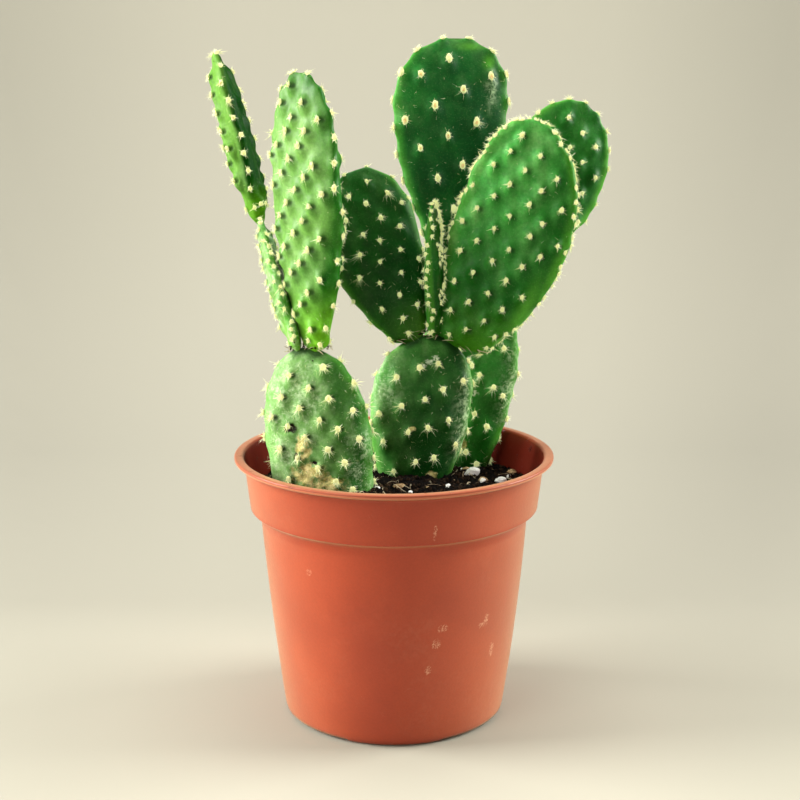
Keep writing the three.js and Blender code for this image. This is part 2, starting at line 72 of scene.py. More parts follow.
POT = Sizes(
    foot_radius=41.9,           # outside, where the body would meet the underside
    foot_corner=2.4,            # radius of the rounded corner there
    fullness=0.7,               # how much fuller than a cone the body is at half its height
    shoulder_radius=50.3,       # outside, where the body ends
    shoulder_height=75.4,
    collar_foot=54.3,           # outside, at the foot of the wider collar
    collar_foot_height=80.9,
    collar_top=56.3,            # outside, just under the lip
    lip_radius=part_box("pot")[1].x / MM,
    height=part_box("pot")[1].z / MM,
    lip_thickness=1.4,
    wall=1.2,
    floor=2.6,
    sides=288,
)
DRAIN = Sizes(
    arches=4,                   # shallow arches under the rim of the floor
    arch_angle=42,              # degrees each
    arch_height=1.2,
    arch_inner=33,              # radius where an arch begins
    hole_radius=3,
    hole_circle=37.4,
    hole_spread=11,             # degrees to each side of the arch's middle
    hole_sides=32,
)
SOIL = Sizes(
    edge_height=86,             # top of the soil at the pot's wall
    mound=2.6,                  # how much higher it stands in the middle
    ripple=0.7,
    clod=0.55,                  # height of its small clods
    sides=280,
    rings=110,
)

# The pads' form, as in the model that this dresses. A rooted pad has its foot's place, and any
# other the older pad that it grows on with its seat across that pad's top edge, from -1 at the
# left end to 1. Then come, as FORM names them: the length, the degrees that it leans to the right
# and back and that its face turns right, the width and thickness, the shares of those at the neck,
# the share of the length at which it is widest, how soon it widens above the neck, how blunt its
# width ends (2 would be an ellipse), and how far its middle is bent to its right side.
FORM = ("length", "right", "back", "turn", "width", "thick", "neck", "neck_thick",
        "belly", "swell", "blunt", "bend")
PADS = {
    "left_base": ((-26, -8, 62), 80, -5, 3, -10, 40.5, 17, 0.54, 0.55, 0.59, 0.55, 2, 2),
    "centre_base": ((7, 14, 70), 73.5, 6, 0, 5, 39, 16, 0.38, 0.55, 0.66, 0.95, 2, -1.5),
    "right_base": ((23.5, 31, 70), 89.5, 6, 1, -10, 39, 14, 0.42, 0.55, 0.65, 1.5, 2, 0),
    "left_main": (("left_base", 0.19), 102, -2.1, -3, -48, 37.5, 14, 0.29, 0.5, 0.61, 0.95, 2.4, 0),
    "left_edge": (("left_base", -0.14), 56, -18, 24, -92, 21, 8.2, 0.3, 0.55, 0.62, 0.85, 2, 0),
    "left_slender": (("left_edge", 0.2), 67, -14.4, 3, -78, 21, 11.2, 0.3, 0.55, 0.62, 0.85, 2, 0),
    "centre_left": (("centre_base", -0.38), 69, -19, 6, 10, 37.5, 12, 0.3, 0.5, 0.64, 0.85, 2, -2.5),
    "centre_small": (("centre_base", 0.04), 53.5, -1, -9, 72, 16, 7.5, 0.4, 0.5, 0.66, 0.85, 2, 0),
    "right_main": (("centre_base", 0.44), 90.5, 20, -5, -12, 43.5, 13, 0.38, 0.5, 0.57, 0.64, 2, 5.6),
    "back_tall": (("right_base", -0.45), 99.5, 0, 5, 12, 46, 12, 0.2, 0.5, 0.76, 1.4, 2.2, -2.5),
    "right_back": (("right_base", 0.32), 82.5, 26, 6, 12, 42, 11, 0.28, 0.5, 0.62, 1.5, 2, 1),
}
THICK_FULL = 0.32       # share of the length at which a pad is thickest
TIP_THINNING = 0.15     # share of the thickness that it has lost besides by its tip
BASE_ROUND = 4.5        # length over which a pad's base is rounded
BASE_DEPTH = 0.85       # how much of a quarter circle that is
SECTION_POWER = 2.3     # 2 would make a pad's cross-section an ellipse

# What each pad carries, as DRESSING names it. Its areoles lie on slanting rows: the place of the
# first as (across, up) from the middle of the base, and the steps to the next ones up the face to
# the left and right. Then the spacing of the areoles along its rim, the height of the rise under
# one, the half width of its woolly cushion, the most long spines of one and their longest length,
# the fine loose hairs on its skin, the skin itself, and what differs from PLAIN_PAD.
DRESSING = ("first", "step_left", "step_right", "edge", "bump", "tuft", "spines", "hairs", "skin")
PLAIN_PAD = {
    "blunt_thick": 2.2,     # how blunt its thickness ends
    "sink": 2,              # how deep its base sits in the older pad
    "inset": 0.35,          # how far the skin lies inside the plain form
    "bump_reach": 2.5,      # radius of a rise
    "slant": 6,             # degrees that the rises lean
    "tall": 1.0,            # height of a cushion to its width
    "heart": 0.5,           # how tan the cushions' hearts are at most
    "rays": 1.0,            # length of the short bristles
    "sprays": 0.1,          # share of the areoles with a fan of fine hairs
    "dark": 0.5,            # how marked the dimples beside the areoles and their painted shadow are
    "young": 0.3,           # how fresh its base is
    "rim": 0.5,             # how much light is painted on its rim as rim light
    "rope": False,          # whether a rope of wool has grown together down its right side
}
DRESS = {
    "left_base": ((4.4, 42.2), (-6.5, 4.3), (4.7, 7.1), 9.5, 1.1, 1.2, (14, 4.4), 260, "older",
                  dict(sprays=0.45, dark=1.0, inset=0)),
    "centre_base": ((6.5, 28.3), (-3.4, 10.7), (7.5, 3.8), 9, 0.9, 1.2, (10, 3.4), 170, "dark_older",
                    dict(sprays=0.4, inset=0)),
    "right_base": ((1.7, 59), (-4.8, 3.9), (6.5, 11.9), 9, 0.9, 1.2, (8, 3.4), 140, "middle",
                   dict(sprays=0.4, inset=0)),
    "left_main": ((-13.2, 46.3), (-7.9, 5.4), (4.8, 4.9), 8.5, 1.6, 1.0, (5, 3.0), 16, "fresh",
                  dict(bump_reach=2.35, slant=22, tall=1.2, heart=1.3, dark=0.75, young=1.0, rim=0.12)),
    "left_edge": ((0, 12), (-3.9, 4.2), (4.1, 4.6), 2.6, 1.1, 0.8, (8, 3.0), 8, "fresh",
                  dict(bump_reach=1.9, young=0.9, rim=0.6)),
    "left_slender": ((7.8, 24), (-8.2, 1.2), (-2, 6.9), 6.5, 1.8, 1.0, (5, 2.8), 8, "fresh_dark",
                     dict(blunt_thick=4.5, sink=5.5, inset=0.6, bump_reach=2.4, heart=1.3, dark=0.8,
                          young=0.5, rim=0)),
    "centre_left": ((4.9, 26.7), (-5.5, 5.7), (3.1, 8.2), 9.5, 0.9, 0.95, (6, 3.2), 110, "shaded",
                    dict(sprays=0.15)),
    "centre_small": ((-5.3, 9.2), (-5, 3.8), (2.5, 6.2), 3.2, 0.7, 0.8, (6, 2.4), 10, "middle",
                     dict(bump_reach=1.8, rope=True)),
    "right_main": ((-1.9, 55.5), (-7.7, 4.7), (4.2, 6.4), 2.7, 1.5, 0.9, (6, 3.2), 40, "middle",
                   dict(inset=0.55, bump_reach=2.3, slant=12, tall=1.1, heart=0.8, dark=0.7)),
    "back_tall": ((3.3, 79.5), (-6, 11.4), (11, 5.7), 10, 1.2, 1.3, (5, 3.2), 150, "dark",
                  dict(tall=1.25, heart=2.6, rays=0.7, sprays=0.4, rim=0.45)),
    "right_back": ((2.6, 71.4), (-7.3, 2.6), (2.9, 7.5), 7, 1.4, 1.0, (6, 3.0), 24, "middle",
                   dict(young=0.8, rim=0.7)),
}

# ------------------------------------------------------------------ meshes from arrays


def make_piece(name, points, faces, material, slot, nodes=(), flat=False, **marks):
    """A piece of the object from points in millimetres and a list of arrays of faces, each array
    with one number of corners. marks are named values for each point."""
    mesh = bpy.data.meshes.new(name)
    mesh.vertices.add(len(points))
    mesh.vertices.foreach_set("co", (points * MM).astype(np.float32).ravel())
    corners = np.concatenate([part.ravel() for part in faces])
    sizes = np.concatenate([np.full(len(part), part.shape[1]) for part in faces])
    mesh.loops.add(len(corners))
    mesh.loops.foreach_set("vertex_index", corners.astype(np.int32))
    mesh.polygons.add(len(sizes))
    mesh.polygons.foreach_set("loop_start", (np.cumsum(sizes) - sizes).astype(np.int32))
    mesh.update(calc_edges=True)
    mesh.validate()
    mesh.shade_smooth()
    if flat:
        mesh.shade_flat()
    for mark, values in marks.items():
        attribute = mesh.attributes.new(mark, "FLOAT", "POINT")
        attribute.data.foreach_set("value", values.astype(np.float32))
    mesh.materials.append(material)
    piece = bpy.data.objects.new(name, mesh)
    bpy.context.scene.collection.objects.link(piece)
    if slot:
        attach(piece, "root")
    if nodes:
        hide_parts(*nodes)
    return piece


def full_turn(sides):
    """Angles evenly round a circle."""
    return 2 * np.pi * np.arange(sides) / sides


def turned(radius, height, sides, *ends):
    """Rings of points about +Z, from columns of radii and heights, with a pole at the height of
    the first end before them and of the second after them."""
    turn = full_turn(sides)
    grid = np.stack(np.broadcast_arrays(radius * np.cos(turn), radius * np.sin(turn), height), -1)
    poles = [np.array([[0, 0, end]], float) for end in ends]
    return np.concatenate([*poles[:1], grid.reshape(-1, 3), *poles[1:]])


def tube_faces(rings, sides):
    """Faces of a closed skin over rings of points, with one pole before the first ring's points
    and one after the last: quads between rings and a fan of triangles at each pole."""
    side = np.arange(sides)
    after = (side + 1) % sides
    ring = 1 + sides * np.arange(rings - 1)[:, None]
    quads = np.stack([ring + side, ring + after, ring + sides + after, ring + sides + side], -1)
    last = 1 + sides * (rings - 1)
    pole = np.zeros(sides, int)
    low = np.stack([pole, 1 + after, 1 + side], -1)
    high = np.stack([pole + 1 + sides * rings, last + side, last + after], -1)
    return [quads.reshape(-1, 4), low, high]


def ball(rings, sides):
    """A ball of radius one: rings of points between two poles."""
    polar = np.pi * (np.arange(1, rings + 1)[:, None] / (rings + 1))
    return turned(np.sin(polar), -np.cos(polar), sides, -1, 1)


def repeated(shape_faces, points_each, copies):
    """The faces of many copies of a shape whose points follow each other in one array."""
    shift = points_each * np.arange(copies)[:, None, None]
    return [(part[None] + shift).reshape(-1, part.shape[1]) for part in shape_faces]


def joined(shapes):
    """Several shapes as one, each given as its points and its list of arrays of faces."""
    starts = np.cumsum([0] + [len(points) for points, _ in shapes])
    faces = [part + start for (_, parts), start in zip(shapes, starts) for part in parts]
    return np.concatenate([points for points, _ in shapes]), faces


def unit(vectors):
    """Vectors of length one, in the same directions."""
    return vectors / np.maximum(np.linalg.norm(vectors, axis=-1, keepdims=True), 1e-12)


def across_to(directions, hint):
    """Two unit directions at right angles to each direction, the first as near to hint as can be."""
    first = unit(hint - (hint * directions).sum(-1, keepdims=True) * directions)
    return first, np.cross(directions, first)


def signed_power(value, power):
    """A power of a value's size, with the value's sign."""
    return np.sign(value) * np.abs(value) ** power


def smooth_step(value, low, high):
    """0 below low, 1 above high, and a smooth slope between."""
    share = np.clip((value - low) / (high - low), 0, 1)
    return share * share * (3 - 2 * share)


def wander(x, y, rng, wave, count=7):
    """Gentle uneven waves over a plane, about -1 to 1: a sum of sines in random directions."""
    total = np.zeros_like(x, float)
    for _ in range(count):
        angle, phase = rng.uniform(0, 2 * math.pi, 2)
        pace = 2 * math.pi / (wave * rng.uniform(0.7, 1.6))
        total += np.sin(pace * (x * math.cos(angle) + y * math.sin(angle)) + phase)
    return total / math.sqrt(count)


def within_box(points):
    """Points held inside the model's box."""
    return np.clip(points, np.array(cad_low) / MM + BOX_MARGIN, np.array(cad_high) / MM - BOX_MARGIN)


# ------------------------------------------------------------------ shader nodes


def give(socket, value):
    """A plain value, or another node's output, for a socket."""
    if isinstance(value, bpy.types.NodeSocket):
        socket.id_data.links.new(value, socket)
    else:
        socket.default_value = value


def add(tree, kind, inputs=(), **settings):
    """A new node with its settings and inputs."""
    made = tree.nodes.new("ShaderNode" + kind)
    for key, value in settings.items():
        setattr(made, key, value)
    for key, value in dict(inputs).items():
        give(made.inputs[key], value)
    return made


def noise(place, scale, detail=3, roughness=0.55, stretch=None):
    """A noise value from 0 to 1, with stretch squeezing it along the axes."""
    tree = place.id_data
    if stretch:
        place = add(tree, "Mapping", {"Vector": place, "Scale": stretch}).outputs[0]
    inputs = {"Vector": place, "Scale": scale, "Detail": detail, "Roughness": roughness}
    return add(tree, "TexNoise", inputs).outputs[0]


def ramp(value, low, high, bottom=0.0, top=1.0):
    """A value mapped from low..high to bottom..top, and held there."""
    return add(value.id_data, "MapRange", {
        "Value": value, "From Min": low, "From Max": high, "To Min": bottom, "To Max": top,
    }, interpolation_type="SMOOTHSTEP").outputs[0]


def mottle(place, scale, detail, low, high, bottom=0.0, top=1.0, roughness=0.55, stretch=None):
    """A noise whose part from low to high is mapped to bottom..top."""
    return ramp(noise(place, scale, detail, roughness, stretch), low, high, bottom, top)


def rotated(place, angles):
    """The place turned about the axes."""
    return add(place.id_data, "Mapping", {"Vector": place, "Rotation": angles}).outputs[0]


def maths(operation, first, *others):
    """Arithmetic on a node's output that takes in one more value at each step."""
    for other in others:
        first = add(first.id_data, "Math", {0: first, 1: other}, operation=operation).outputs[0]
    return first


def times(*values):
    """Values multiplied together."""
    return maths("MULTIPLY", *values)


def plus(*values):
    """Values added together."""
    return maths("ADD", *values)


def blended(share, first, second, mode="MIX"):
    """Two colours mixed by a share."""
    tree = next(value.id_data for value in (share, second) if isinstance(value, bpy.types.NodeSocket))
    return add(tree, "Mix", {0: share, 6: first, 7: second}, data_type="RGBA", blend_type=mode,
               clamp_factor=True).outputs[2]


def layered(tone, *layers):
    """A colour with others laid over it in turn, each as its share and its colour."""
    for share, over in layers:
        tone = blended(share, tone, over)
    return tone


def dimmed(tone, value):
    """A colour times a value."""
    grey = add(value.id_data, "CombineColor", {"Red": value, "Green": value, "Blue": value})
    return blended(1.0, tone, grey.outputs[0], "MULTIPLY")


def new_group(name, inputs, outputs):
    """An empty shader group with its sockets, as the names for each kind of value."""
    group = bpy.data.node_groups.new(name, "ShaderNodeTree")
    for direction, kinds in (("INPUT", inputs), ("OUTPUT", outputs)):
        for kind, names in kinds.items():
            for socket in names.split():
                group.interface.new_socket(socket, in_out=direction, socket_type="NodeSocket" + kind)
    entry, leave = group.nodes.new("NodeGroupInput"), group.nodes.new("NodeGroupOutput")
    return group, entry.outputs, leave.inputs


def use_group(tree, group, **values):
    """A group placed in a material with its own values."""
    return add(tree, "Group", values, node_tree=group).outputs


def connect(shader, **values):
    """Values and outputs for the shader's sockets. Underscores stand for spaces."""
    for key, value in values.items():
        give(shader.inputs[key.replace("_", " ")], value)


def new_material(name, **constants):
    """A material with its nodes, its shader with constant values, and the place on the piece."""
    material = bpy.data.materials.new(name)
    material.use_nodes = True
    tree = material.node_tree
    shader = tree.nodes["Principled BSDF"]
    connect(shader, **constants)
    return material, tree, shader, add(tree, "TexCoord").outputs["Object"]


def raised(shader, height, distance, strength):
    """A bump of a height, times a distance in metres, on the shader's normal."""
    inputs = {"Height": height, "Distance": distance, "Strength": strength}
    connect(shader, Normal=add(shader.id_data, "Bump", inputs).outputs[0])


def mark_of(tree, name):
    """A named value that the mesh carries."""
    return add(tree, "Attribute", attribute_name=name).outputs["Fac"]


def colour(red, green, blue):
    """A colour from its 0 to 255 screen values."""
    linear = [(c / 255 + 0.055) / 1.055 for c in (red, green, blue)]
    return (*(c ** 2.4 for c in linear), 1.0)


# ------------------------------------------------------------------ materials

YOUNG_GREEN = colour(110, 182, 24)
RIM_LIGHT_GREEN = colour(84, 164, 44)
PALE_BLOOM = colour(186, 226, 150)
SHADOW_GREEN = colour(10, 42, 8)
SILVER_HAZE = colour(190, 216, 168)
SILVER_SCUFF = colour(222, 232, 204)
DARK_CORK = colour(168, 160, 78)
PALE_CORK = colour(250, 240, 168)
PIT_BROWN = colour(28, 18, 12)

POT_DEEP = colour(153, 45, 17)
POT_LIGHT = colour(163, 53, 22)
# Painted shade for the inside, and wear with a painted highlight for the lip edge.
POT_INSIDE_SHADE = colour(106, 34, 24)
POT_WORN_HIGHLIGHT = colour(204, 122, 88)
DUST = colour(196, 130, 100)
SCRATCH = colour(222, 168, 134)
EARTH = colour(44, 28, 20)

WOOL_PAINTED_GLOW = (0.8, 1.0, 0.48, 1.0)    # a painted glow: pale wool and thin spines shine a little as if lit from behind

# Each skin's deep green, which is painted shade, and light green, which is painted light on its lit
# side, how much pale bloom lies on it, and how glossy it is. The slender pad's skin has a deeper
# painted shade green, and the shaded skin is a darker copy as painted shade for a pad in shadow.
SKINS = {
    "fresh": (colour(0, 92, 0), colour(94, 143, 58), 0.34, 0.22),
    # This skin has a deeper painted shade green, for the slender pad's shaded side.
    "fresh_dark": (colour(0, 56, 0), colour(92, 142, 50), 0.24, 0.06),
    "middle": (colour(4, 88, 6), colour(71, 169, 67), 0.35, 0.22),
    "shaded": (colour(6, 68, 13), colour(39, 112, 34), 0.2, 0.22),
    "dark": (colour(6, 73, 26), colour(38, 136, 46), 0.25, 0.22),
    "older": (colour(22, 92, 16), colour(108, 162, 76), 0.6, 0.22),
    "dark_older": (colour(4, 66, 12), colour(78, 150, 62), 0.4, 0.22),
}
SKIN_MARKS = "Sunny Young Rim Near Cork Haze Scuff Pit"


def dust_group():
    """Dust and dried splashes: a soft broad film, broken up finely, and a few small specks."""
    group, given, result = new_group(
        "dust", {"Vector": "Place", "Float": "Scale Amount"}, {"Float": "Mask"})
    place = given["Place"]
    film = times(mottle(place, 34, 4, 0.46, 0.74), mottle(place, 420, 5, 0.36, 0.7, roughness=0.7))
    dots = add(group, "TexVoronoi", {"Vector": place, "Scale": given["Scale"]}).outputs["Distance"]
    specks = times(ramp(dots, 0.03, 0.09, 1.0, 0.0), mottle(place, 90, 2, 0.58, 0.62))
    give(result["Mask"], times(plus(film, specks), given["Amount"]))
    return group


def scratch_group():
    """Fine scratches: thin bands of a stretched noise, kept in a few worn areas."""
    group, given, result = new_group(
        "scratches", {"Vector": "Place", "Float": "Amount"}, {"Float": "Mask"})
    bands = []
    for angle, squeeze in ((0.35, 900), (-0.9, 1200), (1.35, 800)):
        place = rotated(given["Place"], (0.2, angle, 0.4))
        middle = maths("SUBTRACT", noise(place, 1.0, 1, 0.4, (squeeze, squeeze, 26)), 0.5)
        thin = ramp(maths("ABSOLUTE", middle, 0.0), 0.0, 0.007, 1.0, 0.0)
        bands.append(times(thin, mottle(place, 60, 2, 0.68, 0.74)))
    give(result["Mask"], times(maths("MAXIMUM", *bands), given["Amount"]))
    return group


def skin_group():
    """The waxy skin of a pad: a deep green as painted shade, and a lighter one painted on its lit side
    as painted light and laid in broad clouds, a pale bloom that is painted thickest on the lit side and
    rubbed off in places, small pale pores, fresher green at the base, a light green painted on the rim
    as rim light, painted shadow in the dimples and round the joints, and cork, scuffs and pits where
    marked."""
    group, given, result = new_group(
        "waxy_skin", {"Vector": "Place", "Color": "Deep Light", "Float": "Bloom " + SKIN_MARKS},
        {"Color": "Colour", "Float": "Roughness Height"})
    place, painted_sun_side = given["Place"], given["Sunny"]
    # Painted light: the lighter green goes to the lit side, besides random clouds.
    clouds = plus(mottle(place, 62, 3, 0.34, 0.68, -0.15, 0.15), painted_sun_side)
    rubbed = mottle(place, 150, 5, 0.34, 0.7, roughness=0.65)
    smear = mottle(place, 70, 4, 0.3, 0.75, roughness=0.6, stretch=(1.6, 1.6, 0.5))
    # The bloom is real wax, painted thickest on the lit side as painted light.
    bloom = times(rubbed, times(smear, painted_sun_side), given["Bloom"])
    fine_spots = mottle(place, 560, 5, 0.43, 0.62, 0.05, 0.95, roughness=0.75)
    patches = mottle(place, 130, 3, 0.38, 0.62, 0.15, 1.0, roughness=0.6)
    streaks = maths("MAXIMUM", *(
        mottle(rotated(place, (0.3, angle, 0.2)), 1.0, 2, 0.62, 0.72, roughness=0.5,
               stretch=(2200, 2200, 420)) for angle in (0.5, -0.8, 1.9)))
    film = plus(times(fine_spots, patches), times(streaks, 0.5))
    pores = add(group, "TexVoronoi", {"Vector": place, "Scale": 1500.0}).outputs["Distance"]
    rough_edge = mottle(place, 330, 5, 0.3, 0.7, 0.35, 1.4, roughness=0.7)
    torn_edge = mottle(place, 1000, 5, 0.38, 0.62, 0.1, 1.5, roughness=0.8)
    corky = ramp(times(given["Cork"], rough_edge), 0.28, 0.72)
    grain = noise(place, 700, 5, 0.7)
    tone = layered(
        blended(clouds, given["Deep"], given["Light"]),
        (times(given["Young"], 0.85), YOUNG_GREEN),
        # Painted rim light in a light green.
        (given["Rim"], RIM_LIGHT_GREEN),
        (bloom, PALE_BLOOM),
        (times(film, given["Haze"]), SILVER_HAZE))
    tone = layered(
        dimmed(tone, mottle(place, 900, 3, 0.25, 0.75, 0.84, 1.14, roughness=0.6)),
        (ramp(pores, 0.0, 0.3, 0.16, 0.0), PALE_BLOOM),
        # Painted shadow in the dimples, the shade marks and round the joints.
        (times(given["Near"], 0.9), SHADOW_GREEN),
        (ramp(times(given["Scuff"], torn_edge), 0.3, 0.7, 0.0, 0.95), SILVER_SCUFF),
        (corky, blended(ramp(grain, 0.3, 0.7), DARK_CORK, PALE_CORK)),
        (ramp(times(given["Pit"], rough_edge), 0.3, 0.62), PIT_BROWN))
    give(result["Colour"], tone)
    sheen = mottle(place, 240, 4, 0.3, 0.7, 0.36, 0.5, roughness=0.6)
    give(result["Roughness"], plus(sheen, times(bloom, 0.22), times(corky, 0.4)))
    give(result["Height"], plus(times(noise(place, 420, 4, 0.6), 0.35),
                                times(noise(place, 2600, 2), 0.08), times(corky, grain, 1.6)))
    return group


def skin_materials():
    """One waxy skin for each pair of greens: the painted shade green and the painted light green."""
    group = skin_group()
    made = {}
    for name, (deep, light, bloom, gloss) in SKINS.items():
        made[name], tree, shader, place = new_material(
            name + "_skin", Subsurface_Weight=0.12, Subsurface_Scale=0.004,
            Subsurface_Radius=(0.5, 1.0, 0.25), Specular_IOR_Level=gloss, IOR=1.42)
        marks = {mark: mark_of(tree, mark) for mark in SKIN_MARKS.split()}
        skin = use_group(tree, group, Place=place, Deep=deep, Light=light, Bloom=bloom, **marks)
        connect(shader, Base_Color=skin["Colour"], Roughness=skin["Roughness"])
        raised(shader, skin["Height"], 0.0006, 0.55)
    return made


def pot_material():
    """Moulded plastic in a terracotta orange, slightly clouded, with scratches, handling marks
    and dust, a lip edge that is lighter from wear and a painted highlight, painted shade inside the
    wall and round the foot, and earth dried on the inside of the wall."""
    material, tree, shader, place = new_material(
        "pot_plastic", IOR=1.5, Specular_IOR_Level=0.3, Sheen_Weight=0.35, Sheen_Roughness=0.5,
        Sheen_Tint=(1.0, 0.85, 0.47, 1.0))
    worn, inside, haze, scuff = (mark_of(tree, mark) for mark in ("WornAndHighlight", "Inside", "Haze", "Scuff"))
    film = use_group(tree, dust_group(), Place=place, Scale=260.0, Amount=0.12)["Mask"]
    lines = use_group(tree, scratch_group(), Place=place, Amount=0.14)["Mask"]
    ragged = mottle(place, 1300, 5, 0.44, 0.58, 0.0, 1.5, roughness=0.8)
    scuffed = ramp(times(scuff, ragged), 0.3, 0.7, 0.0, 0.5)
    earth = times(inside, mottle(place, 260, 5, 0.6, 0.72, roughness=0.7))
    tone = blended(mottle(place, 28, 3, 0.35, 0.65), POT_DEEP, POT_LIGHT)
    tone = layered(
        dimmed(tone, mottle(place, 1300, 3, 0.3, 0.7, 0.95, 1.05)),
        # The lip edge is lighter from wear and as a painted highlight.
        (times(worn, 0.55), POT_WORN_HIGHLIGHT),
        (film, DUST),
        (maths("MAXIMUM", lines, scuffed), SCRATCH),
        # Painted shade inside the pot and round its foot.
        (times(inside, 0.94), POT_INSIDE_SHADE),
        (earth, EARTH))
    rough = plus(mottle(place, 700, 3, 0.3, 0.7, 0.29, 0.34, roughness=0.6), times(earth, 0.4))
    connect(shader, Base_Color=tone, Roughness=rough, Sheen_Weight=times(haze, 0.5),
            Specular_IOR_Level=ramp(inside, 0.0, 1.0, 0.35, 0.08))
    height = plus(times(noise(place, 1100, 3), 0.12), times(earth, 1.6),
                  times(noise(place, 40, 1), 1.2))
    raised(shader, height, 0.0003, 0.7)
    return material


def plain_material(name, dark, light, scale, roughness, bump, mark=None):
    """A material of two tones in a noise, or by a value that the mesh carries, with a fine bump."""
    material, tree, shader, place = new_material(name, Roughness=roughness, Specular_IOR_Level=0.08)
    speckle = mottle(place, scale, 5, 0.3, 0.7, roughness=0.65)
    if mark:
        speckle = plus(times(speckle, 0.35), times(mark_of(tree, mark), 0.65))
    connect(shader, Base_Color=blended(speckle, colour(*dark), colour(*light)))
    raised(shader, noise(place, scale * 3, 4, 0.6), bump, 0.8)
    return material


def tuft_material():
    """Felted wool of an areole: tan in the middle and cream around it, finely speckled, with a painted
    glow.
    """
    material, tree, shader, place = new_material(
        "areole_wool", Roughness=0.85, Sheen_Weight=0.8, Sheen_Roughness=0.6,
        Sheen_Tint=(1.0, 0.95, 0.7, 1.0), Emission_Color=WOOL_PAINTED_GLOW, Emission_Strength=0.28)
    speckle = mottle(place, 2600, 4, 0.3, 0.7, roughness=0.7)
    wool = blended(speckle, colour(248, 242, 128), colour(250, 250, 188))
    heart = blended(speckle, colour(196, 126, 28), colour(246, 198, 84))
    connect(shader, Base_Color=blended(mark_of(tree, "Centre"), wool, heart))
    raised(shader, speckle, 0.0003, 0.8)
    return material


def spine_material():
    """Spines and bristles: tan at the root and pale straw yellow to the tip, a little glossy, with a
    painted glow.
    """
    material, tree, shader, _ = new_material(
        "spine", Roughness=0.42, Sheen_Weight=0.3, Sheen_Tint=(1.0, 0.95, 0.7, 1.0),
        Emission_Color=WOOL_PAINTED_GLOW, Emission_Strength=0.2)
    straw = blended(mark_of(tree, "Tint"), colour(250, 248, 165), colour(252, 255, 225))
    root = colour(244, 220, 112)
    connect(shader, Base_Color=blended(ramp(mark_of(tree, "Tip"), -0.4, 0.4), root, straw))
    return material


# ------------------------------------------------------------------ the pads' form


def base_share(pad, along):
    """How far a pad's rounded base has opened: most of a quarter circle over BASE_ROUND."""
    before = BASE_DEPTH * (1 - np.clip(along * pad.length / BASE_ROUND, 0, 1))
    return np.sqrt(1 - before * before)


def half_axes(pad, along):
    """Half the width and half the thickness at a share of the length. The width is a power of a
    quarter sine up to the belly, rounded at the base, and a blunt quarter ellipse past it. The
    thickness is a quarter sine up to THICK_FULL and past it a blunt quarter ellipse that also
    thins out evenly."""
    base = base_share(pad, along)
    rising = np.sin(np.pi / 2 * np.clip(along / pad.belly, 0, 1)) ** pad.swell
    past = np.clip((along - pad.belly) / (1 - pad.belly), 0, 1)
    width = np.where(along < pad.belly, base * (pad.neck + (1 - pad.neck) * rising),
                     np.sqrt(1 - past ** pad.blunt))
    rising = np.sin(np.pi / 2 * np.clip(along / THICK_FULL, 0, 1))
    past = np.clip((along - THICK_FULL) / (1 - THICK_FULL), 0, 1)
    thick = np.where(along < THICK_FULL, base * (pad.neck_thick + (1 - pad.neck_thick) * rising),
                     np.sqrt(1 - past ** pad.blunt_thick) * (1 - TIP_THINNING * past))
    return pad.width / 2 * width, pad.thick / 2 * thick


def pad_middle(pad, along):
    """The middle line: straight from the base, plus an arch of height bend to the side."""
    along = np.asarray(along, float)[..., None]
    return pad.base + along * pad.length * pad.up + pad.bend * 4 * along * (1 - along) * pad.side


def placed_pads():
    """Every pad with its base and its directions: up its length, out of its face and to its side."""
    placed = {}
    for name, (stand, *form) in PADS.items():
        *dressing, changes = DRESS[name]
        rows = {**PLAIN_PAD, **dict(zip(FORM, form)), **dict(zip(DRESSING, dressing)), **changes}
        pad = Sizes(name=name, on=None, slot="older_skin", **rows)
        right, back, turn = (math.radians(angle) for angle in (pad.right, pad.back, pad.turn))
        pad.up = unit(np.array([math.tan(right), math.tan(back), 1]))
        facing = np.array([math.sin(turn), -math.cos(turn), 0])
        pad.out = unit(facing - facing @ pad.up * pad.up)
        pad.side = np.cross(pad.up, pad.out)
        if stand[0] in placed:
            pad.on, seat = stand
            pad.slot = "young_skin"
            older = placed[pad.on]
            along = older.belly + (1 - older.belly) * math.sqrt(1 - seat ** 2)
            pad.base = (pad_middle(older, along) + seat * older.width / 2 * older.side
                        - pad.sink * pad.up)
        else:
            pad.base = np.array(stand, float)
        placed[name] = pad
    return list(placed.values())


def pad_point(pad, along, angle):
    """A point of the skin: a superellipse of the pad's width and thickness around its middle
    line. Angle 0 is the right edge and a quarter turn the face."""
    half_width, half_thick = half_axes(pad, along)
    sideways = half_width * signed_power(np.cos(angle), 2 / SECTION_POWER)
    outwards = half_thick * signed_power(np.sin(angle), 2 / SECTION_POWER)
    return (pad_middle(pad, along) + sideways[..., None] * pad.side
            + outwards[..., None] * pad.out)


def skin_frame(pad, along, angle):
    """Directions at places of the skin: out of it, as the gradient of the superellipse whose half
    axes change along the pad, and up the pad along it. The squares of the half axes are what is
    sloped, because those stay smooth at the tip."""
    step = 1e-4
    along = np.clip(along, 2 * step, 1 - 2 * step)
    cos, sin = np.cos(angle), np.sin(angle)
    power = 2 * (SECTION_POWER - 1) / SECTION_POWER
    below, here, above = (np.square(half_axes(pad, at)) for at in (along - step, along, along + step))
    width, thick = np.sqrt(here)
    width_slope, thick_slope = (above - below) / (4 * step)
    to_side = signed_power(cos, power) * thick
    to_out = signed_power(sin, power) * width
    rise = cos ** 2 * width_slope * thick / width + sin ** 2 * thick_slope * width / thick
    rise = -(rise + to_side * pad.bend * 4 * (1 - 2 * along)) / pad.length
    out = unit(to_side[..., None] * pad.side + to_out[..., None] * pad.out
               + rise[..., None] * pad.up)
    return out, unit(pad.up - (out @ pad.up)[..., None] * out)


